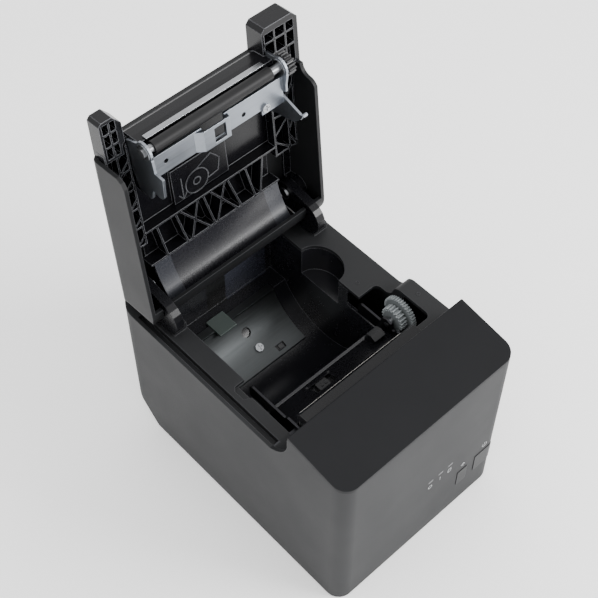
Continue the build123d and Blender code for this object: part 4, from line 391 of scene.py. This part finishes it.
def wire(path, radius, around=8):
    """A round wire: circles of one radius set square to the path at each of its points.

    The two axes of a circle come from crossing the path's own direction with LEAN, and then
    with the first of them.
    """
    path = np.asarray(path, dtype=float)
    ahead = np.gradient(path, axis=0)
    ahead /= np.linalg.norm(ahead, axis=1, keepdims=True)
    beside = np.cross(ahead, LEAN)
    beside /= np.linalg.norm(beside, axis=1, keepdims=True)
    other = np.cross(ahead, beside)
    turn = np.linspace(0, 2 * np.pi, around, endpoint=False)[None, :, None]
    return path[:, None, :] + radius * (beside[:, None, :] * np.cos(turn)
                                        + other[:, None, :] * np.sin(turn))


def line_mark(path, width, face, proud, flat):
    """A raised line on a flat face: a narrow four-sided band along a path drawn on that face.

    The path has two values a point. flat names the world axis that stands out of the face.
    """
    path = np.asarray(path, dtype=float)
    ahead = np.gradient(path, axis=0)
    ahead /= np.maximum(np.linalg.norm(ahead, axis=1, keepdims=True), TINY)
    across = np.stack([-ahead[:, 1], ahead[:, 0]], axis=1) * width / 2
    left, right = path + across, path - across
    corners = []
    for edge, height in ((left, face), (right, face), (right, face + proud), (left, face + proud)):
        depth = np.full(len(path), height)
        columns = [edge[:, 0], edge[:, 1]]
        columns.insert(flat, depth)
        corners.append(np.stack(columns, axis=1))
    return np.stack(corners, axis=1)


def arc_path(x, z, radius, start, end, count=20):
    """Points along a circle's arc between two angles in degrees."""
    turn = np.radians(np.linspace(start, end, count))
    return np.stack([x + radius * np.cos(turn), z + radius * np.sin(turn)], axis=1)


def bar_path(start, end):
    """Three points along a straight bar."""
    return np.linspace(start, end, 3)


# Marks on the front: a lamp sign of each kind, a feed arrow and a power sign, all generic.
FRONT_FACE = -99.5
FRONT_PROUD = -0.05
FRONT_LINE = 0.42
front_marks = {
    "power_ring": arc_path(56.2, 48.5, 2.0, 125, 415),
    "power_bar": bar_path((56.2, 48.6), (56.2, 51.2)),
    "feed_arrow_left": bar_path((35.0, 46.2), (36.7, 48.6)),
    "feed_arrow_right": bar_path((36.7, 48.6), (38.4, 46.2)),
    "feed_arrow_stem": bar_path((36.7, 44.4), (36.7, 48.3)),
    "lamp_ring": arc_path(5.8, 55.6, 1.5, 0, 360),
    "warning_stroke": bar_path((14.6, 55.4), (14.6, 57.4)),
    "warning_dot": bar_path((14.6, 54.0), (14.6, 54.5)),
    "paper_left": bar_path((21.8, 53.9), (21.8, 57.3)),
    "paper_right": bar_path((24.4, 53.9), (24.4, 57.3)),
    "paper_top": bar_path((21.6, 57.3), (24.6, 57.3)),
    "paper_foot": bar_path((21.6, 53.9), (24.6, 53.9)),
}
for name, path in front_marks.items():
    skin_mesh(name, line_mark(path, FRONT_LINE, FRONT_FACE, FRONT_PROUD, 1), mark_paint, "printer")

# Raised lines on the cover's inner plate: a roll of paper, its tail and an arrow.
SIGN_FACE = 139.06
SIGN_PROUD = -0.45
SIGN_LINE = 0.7
lid_marks = {
    "roll_sign": arc_path(-8.0, 31.0, 8.5, 0, 360, 40),
    "roll_core_sign": arc_path(-8.0, 31.0, 2.6, 0, 360, 20),
    "tail_sign": np.array([(-0.2, 34.2), (8.0, 33.0), (10.0, 24.0), (4.0, 17.0)], dtype=float),
    "tail_edge_sign": np.array([(-8.0, 22.5), (-3.0, 20.0), (4.0, 17.0)], dtype=float),
    "arrow_stem_sign": bar_path((-19.0, 22.0), (-19.0, 38.0)),
    "arrow_left_sign": bar_path((-22.0, 34.0), (-19.0, 38.4)),
    "arrow_right_sign": bar_path((-19.0, 38.4), (-16.0, 34.0)),
}
for name, path in lid_marks.items():
    skin_mesh(name, line_mark(path, SIGN_LINE, SIGN_FACE, SIGN_PROUD, 2), lid_black, "lid",
              True)

# Hinge springs: three turns about the pin beside each bracket, and a leg down its inner face.
COIL_X = 53.2
COIL_PITCH = 0.085
COIL_R = 4.0
COIL_POINTS = 90
WIRE_R = 0.4
LEG = ((54.2, 74.0, 124.5), (53.3, 84.0, 127.0), (COIL_X, 88.0, 133.0))
for name, sign in (("right_spring", 1), ("left_spring", -1)):
    turn = np.linspace(0, 6 * np.pi, COIL_POINTS)
    coil = np.stack([COIL_X + COIL_PITCH * turn, HINGE_Y + COIL_R * np.cos(turn),
                     HINGE_Z + COIL_R * np.sin(turn)], axis=1)
    path = np.concatenate([LEG, coil]) * (sign, 1, 1)
    skin_mesh(name, wire(path, WIRE_R), bright_steel, "printer")

# Two shallow marks of the mould on the deck, drawn as rings.
DIMPLE_R = 1.1
DIMPLE_LINE = 0.5
DIMPLE_SUNK = 0.02
DIMPLE_TALL = 0.12
for name, x, y, z in (("deck_dimple", 50.0, 11.8, 115.0), ("shoulder_dimple", 64.5, -25.6, 126.5)):
    ring = arc_path(x, y, DIMPLE_R, 0, 360)
    skin_mesh(name, line_mark(ring, DIMPLE_LINE, z - DIMPLE_SUNK, DIMPLE_TALL, 2), case_skin,
              "printer")

# Floor, light and camera

FLOOR_HALF = 6
FLOOR_WHITE = (0.97, 0.97, 0.97)
SKY_STRENGTH = 1.5

corner_signs = ((-1, -1), (1, -1), (1, 1), (-1, 1))
floor_corners = [(x * FLOOR_HALF, y * FLOOR_HALF, 0) for x, y in corner_signs]
floor_mesh = bpy.data.meshes.new("floor")
floor_mesh.from_pydata(floor_corners, [], [(0, 1, 2, 3)])
floor = bpy.data.objects.new("floor", floor_mesh)
bpy.context.scene.collection.objects.link(floor)
floor_finish = Finish("pale_floor", FLOOR_WHITE, 0.9, Emission_Color=(1, 1, 1, 1),
                      Emission_Strength=0.3)
floor_mesh.materials.append(floor_finish.material)

world = bpy.data.worlds.new("studio")
bpy.context.scene.world = world
world.use_nodes = True
backdrop = next(n for n in world.node_tree.nodes if n.type == "BACKGROUND")
backdrop.inputs["Color"].default_value = (1.0, 1.0, 1.0, 1.0)
backdrop.inputs["Strength"].default_value = SKY_STRENGTH


def softbox(name, place, aim, size, power):
    """A soft area light at a place, turned to face a point."""
    data = bpy.data.lights.new(name, "AREA")
    data.shape = "RECTANGLE"
    data.size = size[0]
    data.size_y = size[1]
    data.energy = power
    lamp = bpy.data.objects.new(name, data)
    bpy.context.scene.collection.objects.link(lamp)
    lamp.location = place
    lamp.rotation_euler = (Vector(aim) - Vector(place)).to_track_quat("-Z", "Y").to_euler()


softbox("key_light", (0.9, -1.1, 0.9), (0, 0, 0.1), (0.9, 0.7), 34.0)
softbox("top_light", (-0.1, 0.3, 1.5), (0, 0, 0.1), (1.0, 0.8), 5.0)

# The camera's angles are in radians, its place in metres.
AZIMUTH = math.radians(-42.993)
ELEVATION = math.radians(53.036)
ROLL = math.radians(0.134)
EYE = (-0.3103, -0.3210, 0.7476)
FOCAL_PIXELS = 1279.4
FRAME_PIXELS = 598.0
SENSOR = 36.0

back = Vector((math.sin(AZIMUTH) * math.cos(ELEVATION), -math.cos(AZIMUTH) * math.cos(ELEVATION),
               math.sin(ELEVATION)))
across = Vector((0, 0, 1)).cross(back).normalized()
upward = back.cross(across)
right = across * math.cos(ROLL) + upward * math.sin(ROLL)
up = upward * math.cos(ROLL) - across * math.sin(ROLL)
lens = bpy.data.cameras.new("camera")
lens.sensor_width = SENSOR
lens.lens = FOCAL_PIXELS / FRAME_PIXELS * SENSOR
camera = bpy.data.objects.new("camera", lens)
bpy.context.scene.collection.objects.link(camera)
camera.matrix_world = Matrix.Translation(EYE) @ Matrix((right, up, back)).transposed().to_4x4()
bpy.context.scene.camera = camera
